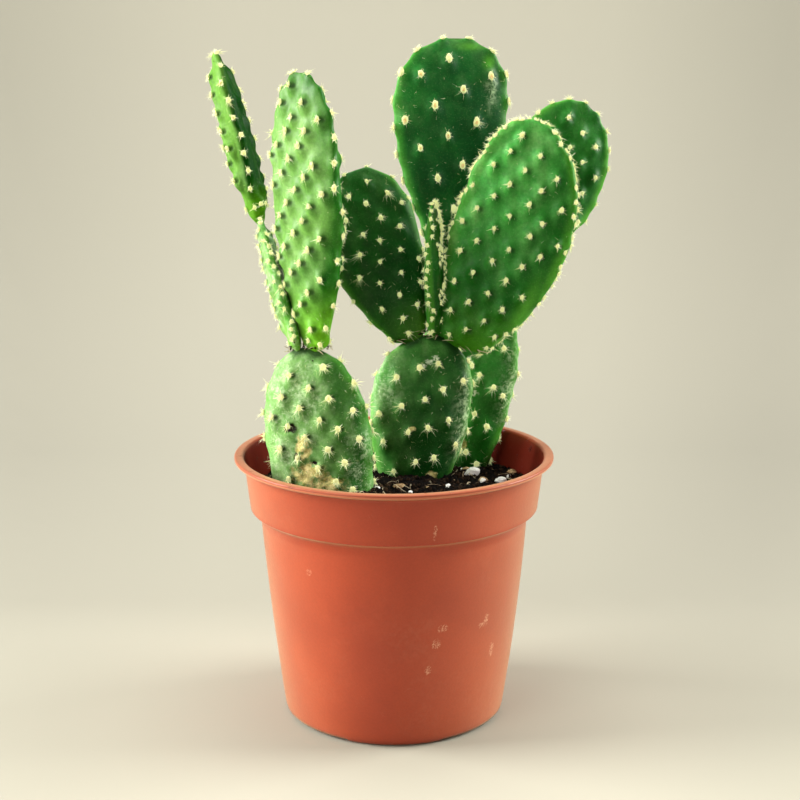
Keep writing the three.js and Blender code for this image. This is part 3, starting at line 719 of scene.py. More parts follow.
def is_inside(pad, points, grow):
    """Whether points lie inside a pad that is grown by a margin."""
    offset = points - pad.base
    along = np.clip(offset @ pad.up / pad.length, 0, 1)
    beyond = np.abs(offset @ pad.up - along * pad.length)
    half_width, half_thick = half_axes(pad, along)
    arch = 4 * along * (1 - along)
    sideways = np.abs(offset @ pad.side - pad.bend * arch) / (half_width + grow)
    outwards = np.abs(offset @ pad.out) / (half_thick + grow)
    return (sideways ** SECTION_POWER + outwards ** SECTION_POWER < 1) & (beyond <= grow)


def is_clear(points, pads, margin, own=None):
    """Whether points lie outside all the pads but their own, by a margin."""
    return ~np.any([is_inside(pad, points, margin) for pad in pads if pad is not own], axis=0)


def soil_height(x, y):
    """Height of the soil's top: a low mound with shallow ripples."""
    share = np.hypot(x, y) / POT.collar_foot
    ripple = np.sin(0.17 * x + 1.1) * np.cos(0.21 * y - 0.4) + 0.5 * np.sin(0.43 * x - 0.31 * y)
    return SOIL.edge_height + SOIL.mound * (1 - share ** 2) + SOIL.ripple * ripple * (1 - share ** 4)


def above_soil(points):
    """How high points stand above the soil's top."""
    return points[:, 2] - soil_height(points[:, 0], points[:, 1])


# ------------------------------------------------------------------ areoles and spines

DIMPLE_SHADOWS = (1.0, 0.1, 0.3)   # how marked the dimple and its painted shadow are beside an areole of the face, rim and foot
RISES = (1.0, 0.6, 0.4)     # how high the skin rises under each of them, as a share
RIM_ROOM = 3.2              # room that the areoles of a face keep from the rim
FACE_ENDS = (0.07, 0.955)   # shares of the length between which they lie
AREOLE_ROOM = 0.8           # how far areoles keep from the other pads
SPINE_ROOM = 0.2            # and spines and hairs
ROPE_TUFTS = 64

# Two kinds of short bristles: how many an areole has, how long they are to the half width of its
# cushion, and by how many degrees the outermost are tipped.
COARSE_BRISTLES = (12, 1.4, 80)
FINE_BRISTLES = (16, 0.8, 62)
# Radius and bend of the coarse and fine bristles, the long spines, the sprays and the loose hairs.
NEEDLE_FORMS = ((0.085, 0.03), (0.065, 0.06), (0.11, 0.04), (0.045, 0.08), (0.035, 0.12))
NEEDLE_POINTS = 8
NEEDLE_TIPS = (0, 0, 0, 0, 0.5, 0.5, 0.5, 1.0)      # how near the tip each of them is


def face_places(pad, rng):
    """Places of areoles on both faces, as shares of the length and angles: first + i left +
    j right, each moved a little, where it keeps clear of the rim, the foot and the tip."""
    steps = np.arange(-30, 31)
    i, j = (grid.ravel() for grid in np.meshgrid(steps, steps))
    across, up = (pad.first[way] + i * pad.step_left[way] + j * pad.step_right[way] for way in (0, 1))
    places = []
    for face in (1, -1):
        aside = face * across + rng.normal(0, 0.5, across.shape)
        along = (up + rng.normal(0, 0.5, up.shape)) / pad.length
        half, _ = half_axes(pad, along)
        kept = (along > FACE_ENDS[0]) & (along < FACE_ENDS[1]) & (np.abs(aside) < half - RIM_ROOM)
        cos = signed_power(aside[kept] / half[kept], SECTION_POWER / 2)
        places.append((along[kept], face * np.arccos(cos)))
    return np.concatenate(places, axis=1)


def rim_places(pad, rng):
    """Places of areoles along the rim, evenly spaced from the right of the foot over the tip to
    the left of the foot, each moved a little off the middle of the rim."""
    along = (1 - np.cos(np.linspace(0, np.pi, 400))) / 2
    right = pad_point(pad, along, np.zeros_like(along))
    length = np.concatenate([[0], np.cumsum(np.linalg.norm(np.diff(right, axis=0), axis=1))])
    whole = length[-1]
    count = int(2 * whole / pad.edge)
    marks = (np.arange(count) + 0.5) * 2 * whole / count
    marks = marks[np.abs(marks - whole) < whole - 4.5]
    share = np.interp(whole - np.abs(marks - whole), length, along)
    return share, np.where(marks < whole, 0.0, np.pi) + rng.normal(0, 0.22, marks.shape)


def neck_places(pad, rng):
    """Places of the few areoles round the foot of a pad that grows on another."""
    count = 5 if pad.on else 0
    angle = 2 * math.pi * (np.arange(count) + 0.1 + 0.4 * rng.uniform(0, 1, count)) / max(count, 1)
    return (pad.sink + 2 + 1.6 * rng.uniform(0, 1, count)) / pad.length, angle


def areole_spots(pad, pads, rng):
    """Where a pad carries areoles: their places, the directions there and their sizes. Those in
    the soil or inside another pad are left out."""
    places = (face_places(pad, rng), rim_places(pad, rng), neck_places(pad, rng))
    along, angle = np.concatenate(places, axis=1)
    counts = [len(part[0]) for part in places]
    at = pad_point(pad, along, angle)
    out, up = skin_frame(pad, along, angle)
    spots = {"under": at, "out": out, "up": up, "size": rng.uniform(0.85, 1.15, len(along)),
             "dark": pad.dark * np.repeat(DIMPLE_SHADOWS, counts), "rise": pad.bump * np.repeat(RISES, counts)}
    kept = (above_soil(at) > 1.2) & is_clear(at, pads, AREOLE_ROOM, pad)
    spots = {key: values[kept] for key, values in spots.items()}
    relief, _ = tubercles(pad, spots, spots["under"])
    spots["at"] = spots["under"] + relief[:, None] * spots["out"]
    return spots


def tubercles(pad, spots, at):
    """How far the skin stands out at places, and how near each is to the dimple beside an areole,
    which is painted with shadow. Under every areole is a rise h exp(-q^1.3), with q = (x / rx)^2 +
    (y / ry)^2 in axes that lean by the pad's slant, whose top lies a little below the areole. Just
    right of it the skin sinks and is painted darker as shadow, and the skin between the rises lies a
    little below the smooth form."""
    side = np.cross(spots["up"], spots["out"])
    x, y, z = (at @ way.T - (spots["under"] * way).sum(1)
               for way in (side, spots["up"], spots["out"]))
    size = spots["size"] * pad.bump_reach
    slant = math.radians(pad.slant)
    low = y + 0.35 * size
    q = ((x * math.cos(slant) + low * math.sin(slant)) / size) ** 2 + (
        (low * math.cos(slant) - x * math.sin(slant)) / (1.45 * size)) ** 2 + (z / 3.4) ** 2
    reach = np.sqrt((x - 1.35) ** 2 + (y + 0.2) ** 2 + z ** 2)
    near = (spots["dark"] * (1 - smooth_step(reach, 0.3, 1.65))).max(1)
    rise = (spots["rise"] * np.exp(-q ** 1.3)).sum(1)
    return rise - pad.bump * (0.4 * near + 0.4) - pad.inset, near


def needles(roots, tips, radius, bend, rng):
    """Thin curved spines with a triangular section: a ring at the root, a narrower ring at the
    middle, which is moved aside by bend, and a point at the tip. Gives points and faces."""
    count = len(roots)
    run = tips - roots
    length = np.linalg.norm(run, axis=1, keepdims=True)
    first, second = across_to(run / length, rng.normal(size=(count, 3)))
    middle = roots + 0.5 * run + bend * length * first
    rings = [centre + width * radius * (math.cos(turn) * first + math.sin(turn) * second)
             for centre, width in ((roots, 1.0), (middle, 0.62)) for turn in full_turn(3)]
    points = np.stack([roots, *rings, tips], axis=1).reshape(-1, 3)
    return points, repeated(tube_faces(2, 3), NEEDLE_POINTS, count)


def along_skin(out, up, turn, tall=1.0):
    """Directions along the skin, at angles from its right side to up, and taller than wide."""
    return np.cos(turn) * np.cross(up, out) + tall * np.sin(turn) * up


def bristles(spots, pad, rng, count, reach, steepest):
    """The short bristles of every areole's tuft. Each starts on the cushion and fans out: its
    direction is the skin's outward direction tipped by an angle that grows with its distance from
    the middle up to the steepest, and it is longer below the areole than above it."""
    each = np.repeat(np.arange(len(spots["at"])), count)
    total = len(each)
    at, out, up = (spots[key][each] for key in ("at", "out", "up"))
    size = (spots["size"][each] * pad.tuft)[:, None]
    turn = rng.uniform(0, 2 * math.pi, total)[:, None]
    share = np.sqrt(rng.uniform(0.03, 1, total))[:, None]
    around = along_skin(out, up, turn, pad.tall)
    root = at + size * (0.72 * share * around + (0.5 - 0.45 * share ** 2) * out)
    tilt = np.radians(10 + steepest * share + rng.normal(0, 9, (total, 1)))
    lower = 1 + 0.3 * np.clip(-np.sin(turn), 0, 1)
    length = reach * pad.rays * size * lower * rng.uniform(0.6, 1.3, (total, 1))
    return root, root + length * (np.cos(tilt) * out + np.sin(tilt) * around)


def long_spines(spots, pad, rng):
    """The longer spines: each areole has from none to its pad's most, which spread mainly
    downwards and outwards, straight, and of uneven length."""
    most, longest = pad.spines
    number = rng.integers(most // 3, most + 1, len(spots["at"]))
    each = np.repeat(np.arange(len(number)), number)
    total = len(each)
    at, out, up = (spots[key][each] for key in ("at", "out", "up"))
    around = along_skin(out, up, rng.normal(-math.pi / 2, 1.15, total)[:, None])
    tilt = np.radians(rng.uniform(28, 78, total))[:, None]
    root = at + 0.3 * pad.tuft * around + 0.25 * out
    length = (longest * rng.uniform(0.45, 1.0, total) ** 1.3)[:, None]
    return root, root + length * (np.cos(tilt) * out + np.sin(tilt) * around)


def hair_sprays(spots, pad, rng):
    """Sprays of fine hairs: some of the areoles have a fan of them that hangs down over the skin,
    spread by about 40 degrees to each side."""
    chosen = np.flatnonzero(rng.uniform(0, 1, len(spots["at"])) < pad.sprays)
    number = rng.integers(8, 22, len(chosen))
    each = np.repeat(chosen, number)
    total = len(each)
    at, out, up = (spots[key][each] for key in ("at", "out", "up"))
    fan = np.repeat(rng.normal(-math.pi / 2, 0.6, len(chosen)), number)
    around = along_skin(out, up, (fan + rng.normal(0, 0.5, total))[:, None])
    root = at + 0.5 * pad.tuft * around + 0.2 * out
    length = (1.2 + 3.8 * rng.uniform(0, 1, total) ** 1.6)[:, None]
    return root, root + length * around + (0.1 + 0.16 * length * rng.uniform(0, 1, (total, 1))) * out


def loose_hairs(pad, rng):
    """Fine hairs that lie on the skin: each starts on it and ends a little above it."""
    count = 2 * pad.hairs
    along = rng.uniform(0.12, 0.93, count)
    angle = rng.uniform(-math.pi, math.pi, count)
    out, up = skin_frame(pad, along, angle)
    flat = along_skin(out, up, rng.uniform(0, 2 * math.pi, count)[:, None])
    length = rng.uniform(0.4, 1.8, count)[:, None] ** 1.2
    root = pad_point(pad, along, angle) + 0.1 * out
    return root, root + length * flat + rng.uniform(0.1, 0.5, count)[:, None] * out


def make_spines(pad, pads, spots, material, rng):
    """All bristles, spines and hairs of a pad as one piece, with how near the tip each point is
    and a tint for each. Those in the soil or in another pad are left out."""
    kinds = (bristles(spots, pad, rng, *COARSE_BRISTLES), bristles(spots, pad, rng, *FINE_BRISTLES),
             long_spines(spots, pad, rng), hair_sprays(spots, pad, rng), loose_hairs(pad, rng))
    shapes = []
    for (root, tip), (radius, bend) in zip(kinds, NEEDLE_FORMS):
        kept = (above_soil(root) > -0.5) & is_clear(root, pads, SPINE_ROOM, pad)
        kept &= is_clear(tip, pads, SPINE_ROOM, pad)
        shapes.append(needles(within_box(root[kept]), within_box(tip[kept]), radius, bend, rng))
    points, faces = joined(shapes)
    count = len(points) // NEEDLE_POINTS
    make_piece("spines_" + pad.name, within_box(points), faces, material, pad.slot,
               Tip=np.tile(NEEDLE_TIPS, count), Tint=np.repeat(rng.uniform(0, 1, count), NEEDLE_POINTS))


def with_rope(pad, spots, rng):
    """The areoles with a rope of wool added, where the pad has one: small tufts close together
    along a wavy line from the tip down the right side of the face."""
    if not pad.rope:
        return spots
    along = 1 - 0.85 * np.linspace(0.002, 1, ROPE_TUFTS) ** 1.1
    waves = 0.13 * np.sin(21 * along) * (1 - along ** 4)
    angle = math.pi * (0.5 + waves + rng.normal(0, 0.05, ROPE_TUFTS))
    out, up = skin_frame(pad, along, angle)
    lift = rng.uniform(-0.4, 0.8, ROPE_TUFTS)[:, None]
    rope = {"at": pad_point(pad, along, angle) + lift * out, "out": out, "up": up,
            "size": rng.uniform(0.3, 0.85, ROPE_TUFTS)}
    return {key: np.concatenate([spots[key], rope[key]]) for key in rope}


def make_tufts(pad, spots, material, rng):
    """The woolly cushions: a low dome for each areole, an ellipsoid that is taller than wide and
    sunk in the skin, with every point pushed in or out a little so that it looks felted. Some are
    older than others, with a tan heart."""
    rings, sides = 5, 10
    dome = ball(rings, sides)
    count = len(spots["at"])
    shape = dome[None] * (1 + rng.normal(0, 0.13, (count, len(dome), 1)))
    wide = (pad.tuft * spots["size"])[:, None, None]
    at, out, up = (spots[key][:, None] for key in ("at", "out", "up"))
    points = at + wide * (0.84 * shape[..., :1] * np.cross(up, out) + pad.tall * shape[..., 1:2] * up
                          + (0.5 * shape[..., 2:] + 0.12) * out)
    reach = np.hypot(dome[:, 0], dome[:, 1] + 0.15) + 2 * (dome[:, 2] < 0)
    heart = smooth_step(1 - reach, 0.3, 0.75)[None] * rng.uniform(0, pad.heart, (count, 1))
    make_piece("areoles_" + pad.name, within_box(points.reshape(-1, 3)),
               repeated(tube_faces(rings, sides), len(dome), count), material, pad.slot,
               Centre=heart.ravel())


# ------------------------------------------------------------------ the pads' skins

PAINTED_SUN = unit(np.array([-0.85, -0.12, 0.5]))    # the direction from which light is painted on the pads' skins
ROOTED_GRID = (210, 224)            # rings and sides of the skin of a rooted pad
GROWN_GRID = (190, 200)             # and of a pad that grows on another
SEAT_STEPS = (0.6, 1.1, 1.6, 2.1)   # how far out the steps of the painted shade round a joint reach
SEAT_DARK = 0.22                    # how dark each of them is

# Marks of each kind on each pad: (across, up) on its face and half the width and height.
MARKS = {
    ("left_base", "Haze"): [(-6, 60, 11, 18), (-13, 40, 11, 22), (17, 34, 5, 17)],
    ("left_base", "Cork"): [(-3, 33, 7.5, 6), (-4.5, 43, 3.4, 5.5), (4, 29, 7, 4)],
    ("left_base", "Pit"): [(-8.8, 50.6, 2.6, 2.2), (-7.4, 39.6, 1, 2.4), (-0.4, 37.6, 1.8, 1),
                           (-9.8, 29, 1.6, 1.6)],
    ("left_base", "Shade"): [(11, 66, 6, 9)],
    ("centre_base", "Scuff"): [(-2.2, 61.8, 1.8, 0.9), (0, 63.3, 1.8, 1.1), (2.4, 65.2, 1.8, 1.2)],
    ("centre_base", "Cork"): [(-3.2, 37.5, 1.8, 1), (6, 20, 2.6, 1.6)],
    # The haze along the right rims of this pad and the next is painted light.
    ("centre_base", "Haze"): [(18.5, 40, 4.5, 24), (-17, 52, 6, 12)],
    ("right_base", "Haze"): [(18.5, 52, 4, 20)],
    ("right_base", "Cork"): [(2, 27, 2, 2.4)],
    ("right_base", "Scuff"): [(4, 48, 2, 1.2)],
    ("left_main", "Shade"): [(2, 103, 20, 12), (15, 84, 6, 14)],
    ("left_edge", "Haze"): [(0, 30, 14, 40), (0, 52, 12, 12), (0, 8, 12, 14)],
    ("centre_small", "Shade"): [(0, 30, 12, 30)],
    # Painted rim light.
    ("right_main", "Fresh"): [(17, 24, 3, 12), (21, 42, 2, 14)],
    ("right_main", "Shade"): [(-8, 30, 10, 18)],
    ("back_tall", "Haze"): [(15, 78, 2.4, 6)],
    # Painted rim light.
    ("back_tall", "Fresh"): [(14, 90, 2.5, 3), (6, 96, 5, 1.5)],
}
FRONT_ONLY = ("Cork", "Scuff", "Pit")


def mark_share(pad, kind, across, up, face):
    """How much of one kind of mark lies at places of a pad's face: the highest of the bells
    exp(-(distance / half size)^2) of its marks. Some kinds are on the front only."""
    total = np.zeros_like(across)
    for x, y, wide, high in MARKS.get((pad.name, kind), ()):
        bell = np.exp(-((across - x) / wide) ** 2 - ((up - y) / high) ** 2)
        total = np.maximum(total, bell * (face > 0) if kind in FRONT_ONLY else bell)
    return total


def make_skin(pad, pads, spots, material, rng):
    """A pad's skin. The smooth form of pad_point is raised along its outward direction by the
    tubercles and by gentle waves, and sinks in the pits."""
    rings, sides = GROWN_GRID if pad.on else ROOTED_GRID
    share = (1 - np.cos(np.pi * np.arange(rings) / rings)) / 2
    grids = np.meshgrid(share, full_turn(sides), indexing="ij")
    along, angle = (np.concatenate([[0], grid.ravel(), [end]]) for grid, end in zip(grids, (1, 0)))
    at = pad_point(pad, along, angle)
    at[0] = pad.base
    out, _ = skin_frame(pad, along, angle)
    out[0] = -pad.up
    relief, near = tubercles(pad, spots, at)
    offset = at - pad_middle(pad, along)
    across, face = offset @ pad.side, offset @ pad.out
    up = along * pad.length
    relief += 0.2 * wander(across + 1.5 * face, up - face, rng, 22) * np.sin(np.pi * along)
    half = np.maximum(half_axes(pad, along)[0], 0.01 * pad.width)
    marks = {kind: mark_share(pad, kind, across, up, face)
             for kind in ("Cork", "Haze", "Scuff", "Pit", "Fresh", "Shade")}
    fresh, shade = marks.pop("Fresh"), marks.pop("Shade")
    rough = wander(across, up, rng, 2.4) * 0.16 + wander(across, up, rng, 5) * 0.2
    relief += marks["Cork"] * rough * 1.4 - 1.5 * marks["Pit"] ** 2
    # A rim light is painted on the rim and on the marked lit patches.
    marks["Rim"] = np.maximum(pad.rim * smooth_step(np.abs(across) / half, 0.8, 1.0), 0.8 * fresh)
    # Painted shadow: the dimples, the shade marks and the joints.
    marks["Near"] = np.clip(np.maximum(near, 0.15 * shade) + seat_shade(pad, pads, at), 0, 1)
    marks["Young"] = youth(pad, along, across / half)
    points = within_box(at + relief[:, None] * out)
    # Painted light: the side that faces the light's direction, and the top a little more, gets the
    # lighter green and the bloom.
    facing = 0.65 * facings(at, rings, sides) + 0.35 * facings(points, rings, sides)
    painted_sun_side = facing @ PAINTED_SUN + 0.3 * (np.clip(along, 0, 1) - 0.55)
    marks["Sunny"] = smooth_step(painted_sun_side, -0.15, 0.75) * (1 - 0.75 * shade)
    make_piece("skin_" + pad.name, points, tube_faces(rings, sides), material, pad.slot,
               nodes=("pad_" + pad.name,), **marks)


def seat_shade(pad, pads, points):
    """Painted shade on the skin round the foot of each younger pad: steps outwards from its skin."""
    return sum((SEAT_DARK * is_inside(other, points, step) for other in pads
                if other.on == pad.name for step in SEAT_STEPS), np.zeros(len(points)))


def facings(points, rings, sides):
    """The outward direction at every point of a closed tube, across its neighbours' differences."""
    grid = points[1:-1].reshape(rings, sides, 3)
    around = np.roll(grid, -1, 1) - np.roll(grid, 1, 1)
    out = unit(np.cross(np.gradient(grid, axis=0), around) + 1e-12)
    low, high = out[0].mean(0, keepdims=True), out[-1].mean(0, keepdims=True)
    return np.concatenate([low, out.reshape(-1, 3), high])


def youth(pad, along, across):
    """How fresh and yellow-green the skin is: most at the neck of a pad that grows on another."""
    neck = 1 - smooth_step(along, 0.02, 0.3)
    return np.clip(pad.young * neck * (0.7 + 0.5 * across), 0, 1) * bool(pad.on)


# ------------------------------------------------------------------ the pot

# Scuffs on the pot's front: degrees to the right of the middle, height, half width and half height.
POT_SCUFFS = [
    (15, 85, 0.7, 3), (21.3, 46.8, 2, 1.5), (18.5, 41, 1.6, 2), (15.2, 31, 1.2, 1.8),
    (45, 46.3, 1.2, 2.4), (42, 44.5, 1.8, 1), (51, 33, 1.2, 3), (-38, 66, 1.6, 0.8),
]
PROFILE_STEP = 1.6      # longest stretch between two points of the pot's section


def arc_points(before, corner, after, radius, steps=5):
    """A round corner between two straight stretches, as points of a quadratic curve that leaves
    the first stretch and joins the second at the same distance from the corner."""
    before, corner, after = (np.array(p, float) for p in (before, corner, after))
    start = corner + radius * unit(before - corner)
    end = corner + radius * unit(after - corner)
    t = np.linspace(0, 1, steps)[:, None]
    return (1 - t) ** 2 * start + 2 * t * (1 - t) * corner + t ** 2 * end


def divided(profile, longest):
    """A profile whose long stretches are divided into steps no longer than a length."""
    parts = []
    for start, end in zip(profile[:-1], profile[1:]):
        count = max(1, math.ceil(np.linalg.norm(end - start) / longest))
        parts.append(start + (end - start) * (np.arange(count) / count)[:, None])
    return np.concatenate([*parts, profile[-1:]])


def body_radius(height):
    """The pot's outside radius at heights of its body: a cone, made fuller by an arch."""
    share = height / POT.shoulder_height
    cone = POT.foot_radius + (POT.shoulder_radius - POT.foot_radius) * share
    return cone + POT.fullness * 4 * share * (1 - share)


def pot_profile():
    """The pot's section as (radius, height) points from the middle of its underside, up the
    outside, over the lip and down the inside to the middle of its floor, with round corners."""
    level = np.linspace(9, POT.shoulder_height - 4, 14)
    body = list(zip(body_radius(level), level))
    wall = [(radius - POT.wall, height) for radius, height in reversed(body)]
    straight = [0] * len(body)
    corners = [
        (0, 0), (POT.foot_radius, 0), *body, (POT.shoulder_radius, POT.shoulder_height),
        (POT.shoulder_radius + 0.9, POT.collar_foot_height - 1.9),
        (POT.collar_foot, POT.collar_foot_height - 0.3),
        (POT.collar_top, POT.height - 2 * POT.lip_thickness),
        (POT.lip_radius, POT.height - POT.lip_thickness), (POT.lip_radius, POT.height),
        (POT.collar_top + 0.2, POT.height),
        (POT.collar_foot - POT.wall, POT.collar_foot_height + 0.4),
        (POT.shoulder_radius - POT.wall, POT.shoulder_height + 0.4), *wall,
        (POT.foot_radius - POT.wall, POT.floor), (0, POT.floor),
    ]
    radii = [0, POT.foot_corner, *straight, 1.2, 1.1, 0.3, 1.1, 0.5, 0.62, 1.0, 1.2, 1.2,
             *straight, 1.5, 0]
    parts = [np.array(corners[:1], float)]
    for index in range(1, len(corners) - 1):
        bend = arc_points(*corners[index - 1:index + 2], radii[index])
        parts.append(bend if radii[index] else bend[:1])
    return divided(np.concatenate([*parts, np.array(corners[-1:], float)]), PROFILE_STEP)


def pot_scuffs(points, reach):
    """How much of a scuff lies at points of the pot: the highest of the scuffs' bells."""
    turn = np.degrees(np.arctan2(points[:, 0], -points[:, 1]))
    total = np.zeros(len(points))
    for angle, height, wide, high in POT_SCUFFS:
        across = np.radians(turn - angle) * reach
        bell = np.exp(-(across / wide) ** 2 - ((points[:, 2] - height) / high) ** 2)
        total = np.maximum(total, bell)
    return total * (reach > POT.foot_radius)


def pot_marks(points, past_lip):
    """Where the pot's finish changes: the worn lip, which also carries a painted highlight, the inside,
    which is darkened with painted shade, as are part of the lip's top and, a little, the foot, the
    scuffs, and the haze, which is thinner at the foot, under the collar and in the groove under the
    lip."""
    reach, level = np.hypot(points[:, 0], points[:, 1]), points[:, 2]
    foot = (1 - smooth_step(level, 0.6, 3.4)) * smooth_step(reach, 38, 40)
    over = smooth_step(level, POT.height - 1.2, POT.height - 0.2)
    inner = past_lip * (1 - 0.55 * over) * (level > 1)
    under = 1 - smooth_step(level, POT.collar_foot_height - 0.2, POT.collar_foot_height + 1)
    under = smooth_step(level, POT.shoulder_height - 1, POT.shoulder_height + 1) * under
    groove = np.exp(-((level - POT.height + 2 * POT.lip_thickness) / 0.7) ** 2)
    return {
        # Wear on the lip edge, also a painted highlight line.
        "WornAndHighlight": smooth_step(reach, POT.lip_radius - 0.6, POT.lip_radius - 0.1),
        # Painted shade inside the wall, on part of the lip's top and round the foot.
        "Inside": np.maximum(inner, 0.35 * foot),
        "Scuff": pot_scuffs(points, reach),
        "Haze": (1 - inner) * (1 - 0.8 * foot) * (1 - 0.45 * under) * (1 - 0.8 * groove),
    }


def make_pot(material):
    """The pot: its section turned about +Z, with its wall a little uneven, the foot's edge raised
    in four shallow arches, and eight drain holes cut through the floor."""
    profile = pot_profile()[1:-1]
    turn = full_turn(POT.sides)
    radius, height = profile[:, :1], profile[:, 1:]
    bulge = 0.12 * np.sin(3 * turn + 0.6) + 0.08 * np.sin(5 * turn + 2)
    radius = radius + bulge * smooth_step(height, 4, 30) * (1 - smooth_step(height, 55, 76))
    spacing = 2 * np.pi / DRAIN.arches
    quarter = (turn + spacing / 2) % spacing
    half = math.radians(DRAIN.arch_angle / 2)
    arch = 1 - smooth_step(np.minimum(quarter, spacing - quarter), half - 0.035, half + 0.005)
    outer = smooth_step(radius, DRAIN.arch_inner - 1, DRAIN.arch_inner) * (height < 1.3)
    height = height + arch * outer * (DRAIN.arch_height - 0.75 * np.clip(height, 0, 1.3))
    points = turned(radius, height, POT.sides, 0, POT.floor)
    past_lip = np.arange(len(profile)) > np.argmax(profile[:, 0])
    past_lip = np.concatenate([[0], np.repeat(past_lip, POT.sides), [1]])
    pot = make_piece("pot_shell", within_box(points), tube_faces(len(profile), POT.sides),
                     material, "pot_plastic", nodes=("pot",), **pot_marks(points, past_lip))
    cut_drain_holes(pot)


def cut_drain_holes(pot):
    """The drain holes: a Boolean cut by upright round bars, applied, with the bars then removed."""
    bar = turned(np.full((2, 1), DRAIN.hole_radius), np.array([[-2], [2 * POT.floor]]),
                 DRAIN.hole_sides, -2, 2 * POT.floor)
    bars = []
    for arch in range(DRAIN.arches):
        for side in (-1, 1):
            angle = 2 * math.pi * (arch + 0.5) / DRAIN.arches + side * math.radians(DRAIN.hole_spread)
            centre = DRAIN.hole_circle * np.array([math.cos(angle), math.sin(angle), 0])
            bars.append((centre + bar, tube_faces(2, DRAIN.hole_sides)))
    cutter = make_piece("drain_cutter", *joined(bars), pot.data.materials[0], None)
    cut = pot.modifiers.new("drain", "BOOLEAN")
    cut.object = cutter
    cut.solver = "EXACT"
    with bpy.context.temp_override(object=pot, active_object=pot, selected_objects=[pot]):
        bpy.ops.object.modifier_apply(modifier=cut.name)
    old = cutter.data
    bpy.data.objects.remove(cutter)
    bpy.data.meshes.remove(old)


# ------------------------------------------------------------------ the soil

CRUMBS = 7200               # how many are strewn, less those that would lie in a pad
FIBRES = 190
STONE_PLACES = 40           # tried for the stones at random places
# How many stones lie at random places, how large they are, and how uneven all of that kind are.
MORE_PERLITE = (9, (0.7, 1.7), 1.0)
MORE_BARK = (12, (0.9, 2.4), 1.3)
# How many lie round the foot of each pad on a rooted one, and how far up from it.
JOINT_CRUMBS = (16, 1.2)
JOINT_FIBRES = (12, 1.6)

# Perlite and bark that show between the pads: place, half sizes and turn.
PERLITE = [
    ((30.5, 13.5), (3.1, 2.1, 1.9), 24), ((40.8, 3.0), (2.3, 1.7, 1.5), -10),
    ((33.9, 1.3), (1.5, 1.2, 1.0), 60), ((-6.4, -9.5), (1.3, 1.0, 0.8), 20),
    ((26.5, 19.5), (1.0, 0.8, 0.7), 80), ((44.5, 13.0), (1.2, 0.9, 0.8), 45),
]
BARK = [
    ((1.9, -6.9), (2.6, 1.3, 0.9), 35), ((12, -30), (3.4, 2.1, 1.1), -40),
    ((-4, -44), (2.8, 1.5, 1.0), 5), ((46, 20), (2.4, 1.6, 1.0), 50),
    ((-36, 24), (3.0, 1.8, 1.1), 80),
]

FIFTHS = np.radians([*range(0, 360, 72), *range(36, 396, 72)])
ICOSAHEDRON = np.concatenate([
    [[0, 0, 1]],
    np.stack([2 * np.cos(FIFTHS), 2 * np.sin(FIFTHS), np.repeat([1, -1], 5)], -1) / 5 ** 0.5,
    [[0, 0, -1]]])
THIS, NEXT, TOP = np.arange(5), (np.arange(5) + 1) % 5, np.zeros(5, int)
ICOSAHEDRON_FACES = np.concatenate([np.stack(corners, -1) for corners in (
    (TOP, 1 + THIS, 1 + NEXT), (1 + THIS, 6 + THIS, 1 + NEXT),
    (1 + NEXT, 6 + THIS, 6 + NEXT), (TOP + 11, 6 + NEXT, 6 + THIS))])


def soil_reach(level):
    """The soil's radius at a height: the pot's inner wall less a small gap."""
    heights = [POT.floor, POT.shoulder_height + 0.4, POT.collar_foot_height + 0.4, POT.height]
    radii = [POT.foot_radius, POT.shoulder_radius, POT.collar_foot, POT.collar_top]
    return np.interp(level, heights, np.array(radii) - POT.wall - 0.25)


def make_soil(material, rng):
    """The soil as one closed body: the floor and wall follow the pot, and the top is soil_height
    plus uneven waves of three sizes for its clods."""
    turn = full_turn(SOIL.sides)
    levels = np.linspace(POT.floor + 0.3, SOIL.edge_height - 1.5, 24)
    floor_reach = soil_reach(levels[0]) * np.array([0.35, 0.7])
    top_reach = soil_reach(SOIL.edge_height) * np.sqrt(1 - np.arange(SOIL.rings) / SOIL.rings)
    x, y = np.outer(top_reach, np.cos(turn)), np.outer(top_reach, np.sin(turn))
    clods = wander(x, y, rng, 6) + 0.8 * wander(x, y, rng, 3) + 0.6 * wander(x, y, rng, 1.5)
    wall = np.outer([levels[0], levels[0], *levels], np.ones_like(turn))
    height = np.concatenate([wall, soil_height(x, y) + SOIL.clod * clods])
    radius = np.concatenate([floor_reach, soil_reach(levels), top_reach])[:, None]
    points = turned(radius, height, SOIL.sides, levels[0], soil_height(0, 0))
    make_piece("soil_body", points, tube_faces(len(radius), SOIL.sides), material, "potting_soil",
               nodes=("soil",))


def turned_at_random(count, rng):
    """Random rotations as matrices, from unit quaternions."""
    w, x, y, z = unit(rng.normal(size=(count, 4))).T
    return np.stack([
        1 - 2 * (y * y + z * z), 2 * (x * y - w * z), 2 * (x * z + w * y),
        2 * (x * y + w * z), 1 - 2 * (x * x + z * z), 2 * (y * z - w * x),
        2 * (x * z - w * y), 2 * (y * z + w * x), 1 - 2 * (x * x + y * y)], -1).reshape(-1, 3, 3)


def open_soil(count, pads, rng, margin):
    """Random places on the open soil, clear of the wall and of the pads."""
    radius = (soil_reach(SOIL.edge_height) - margin) * np.sqrt(rng.uniform(0, 1, 3 * count))
    turn = rng.uniform(0, 2 * math.pi, 3 * count)
    x, y = radius * np.cos(turn), radius * np.sin(turn)
    at = np.stack([x, y, soil_height(x, y)], -1)
    return at[is_clear(at, pads, margin)][:count]


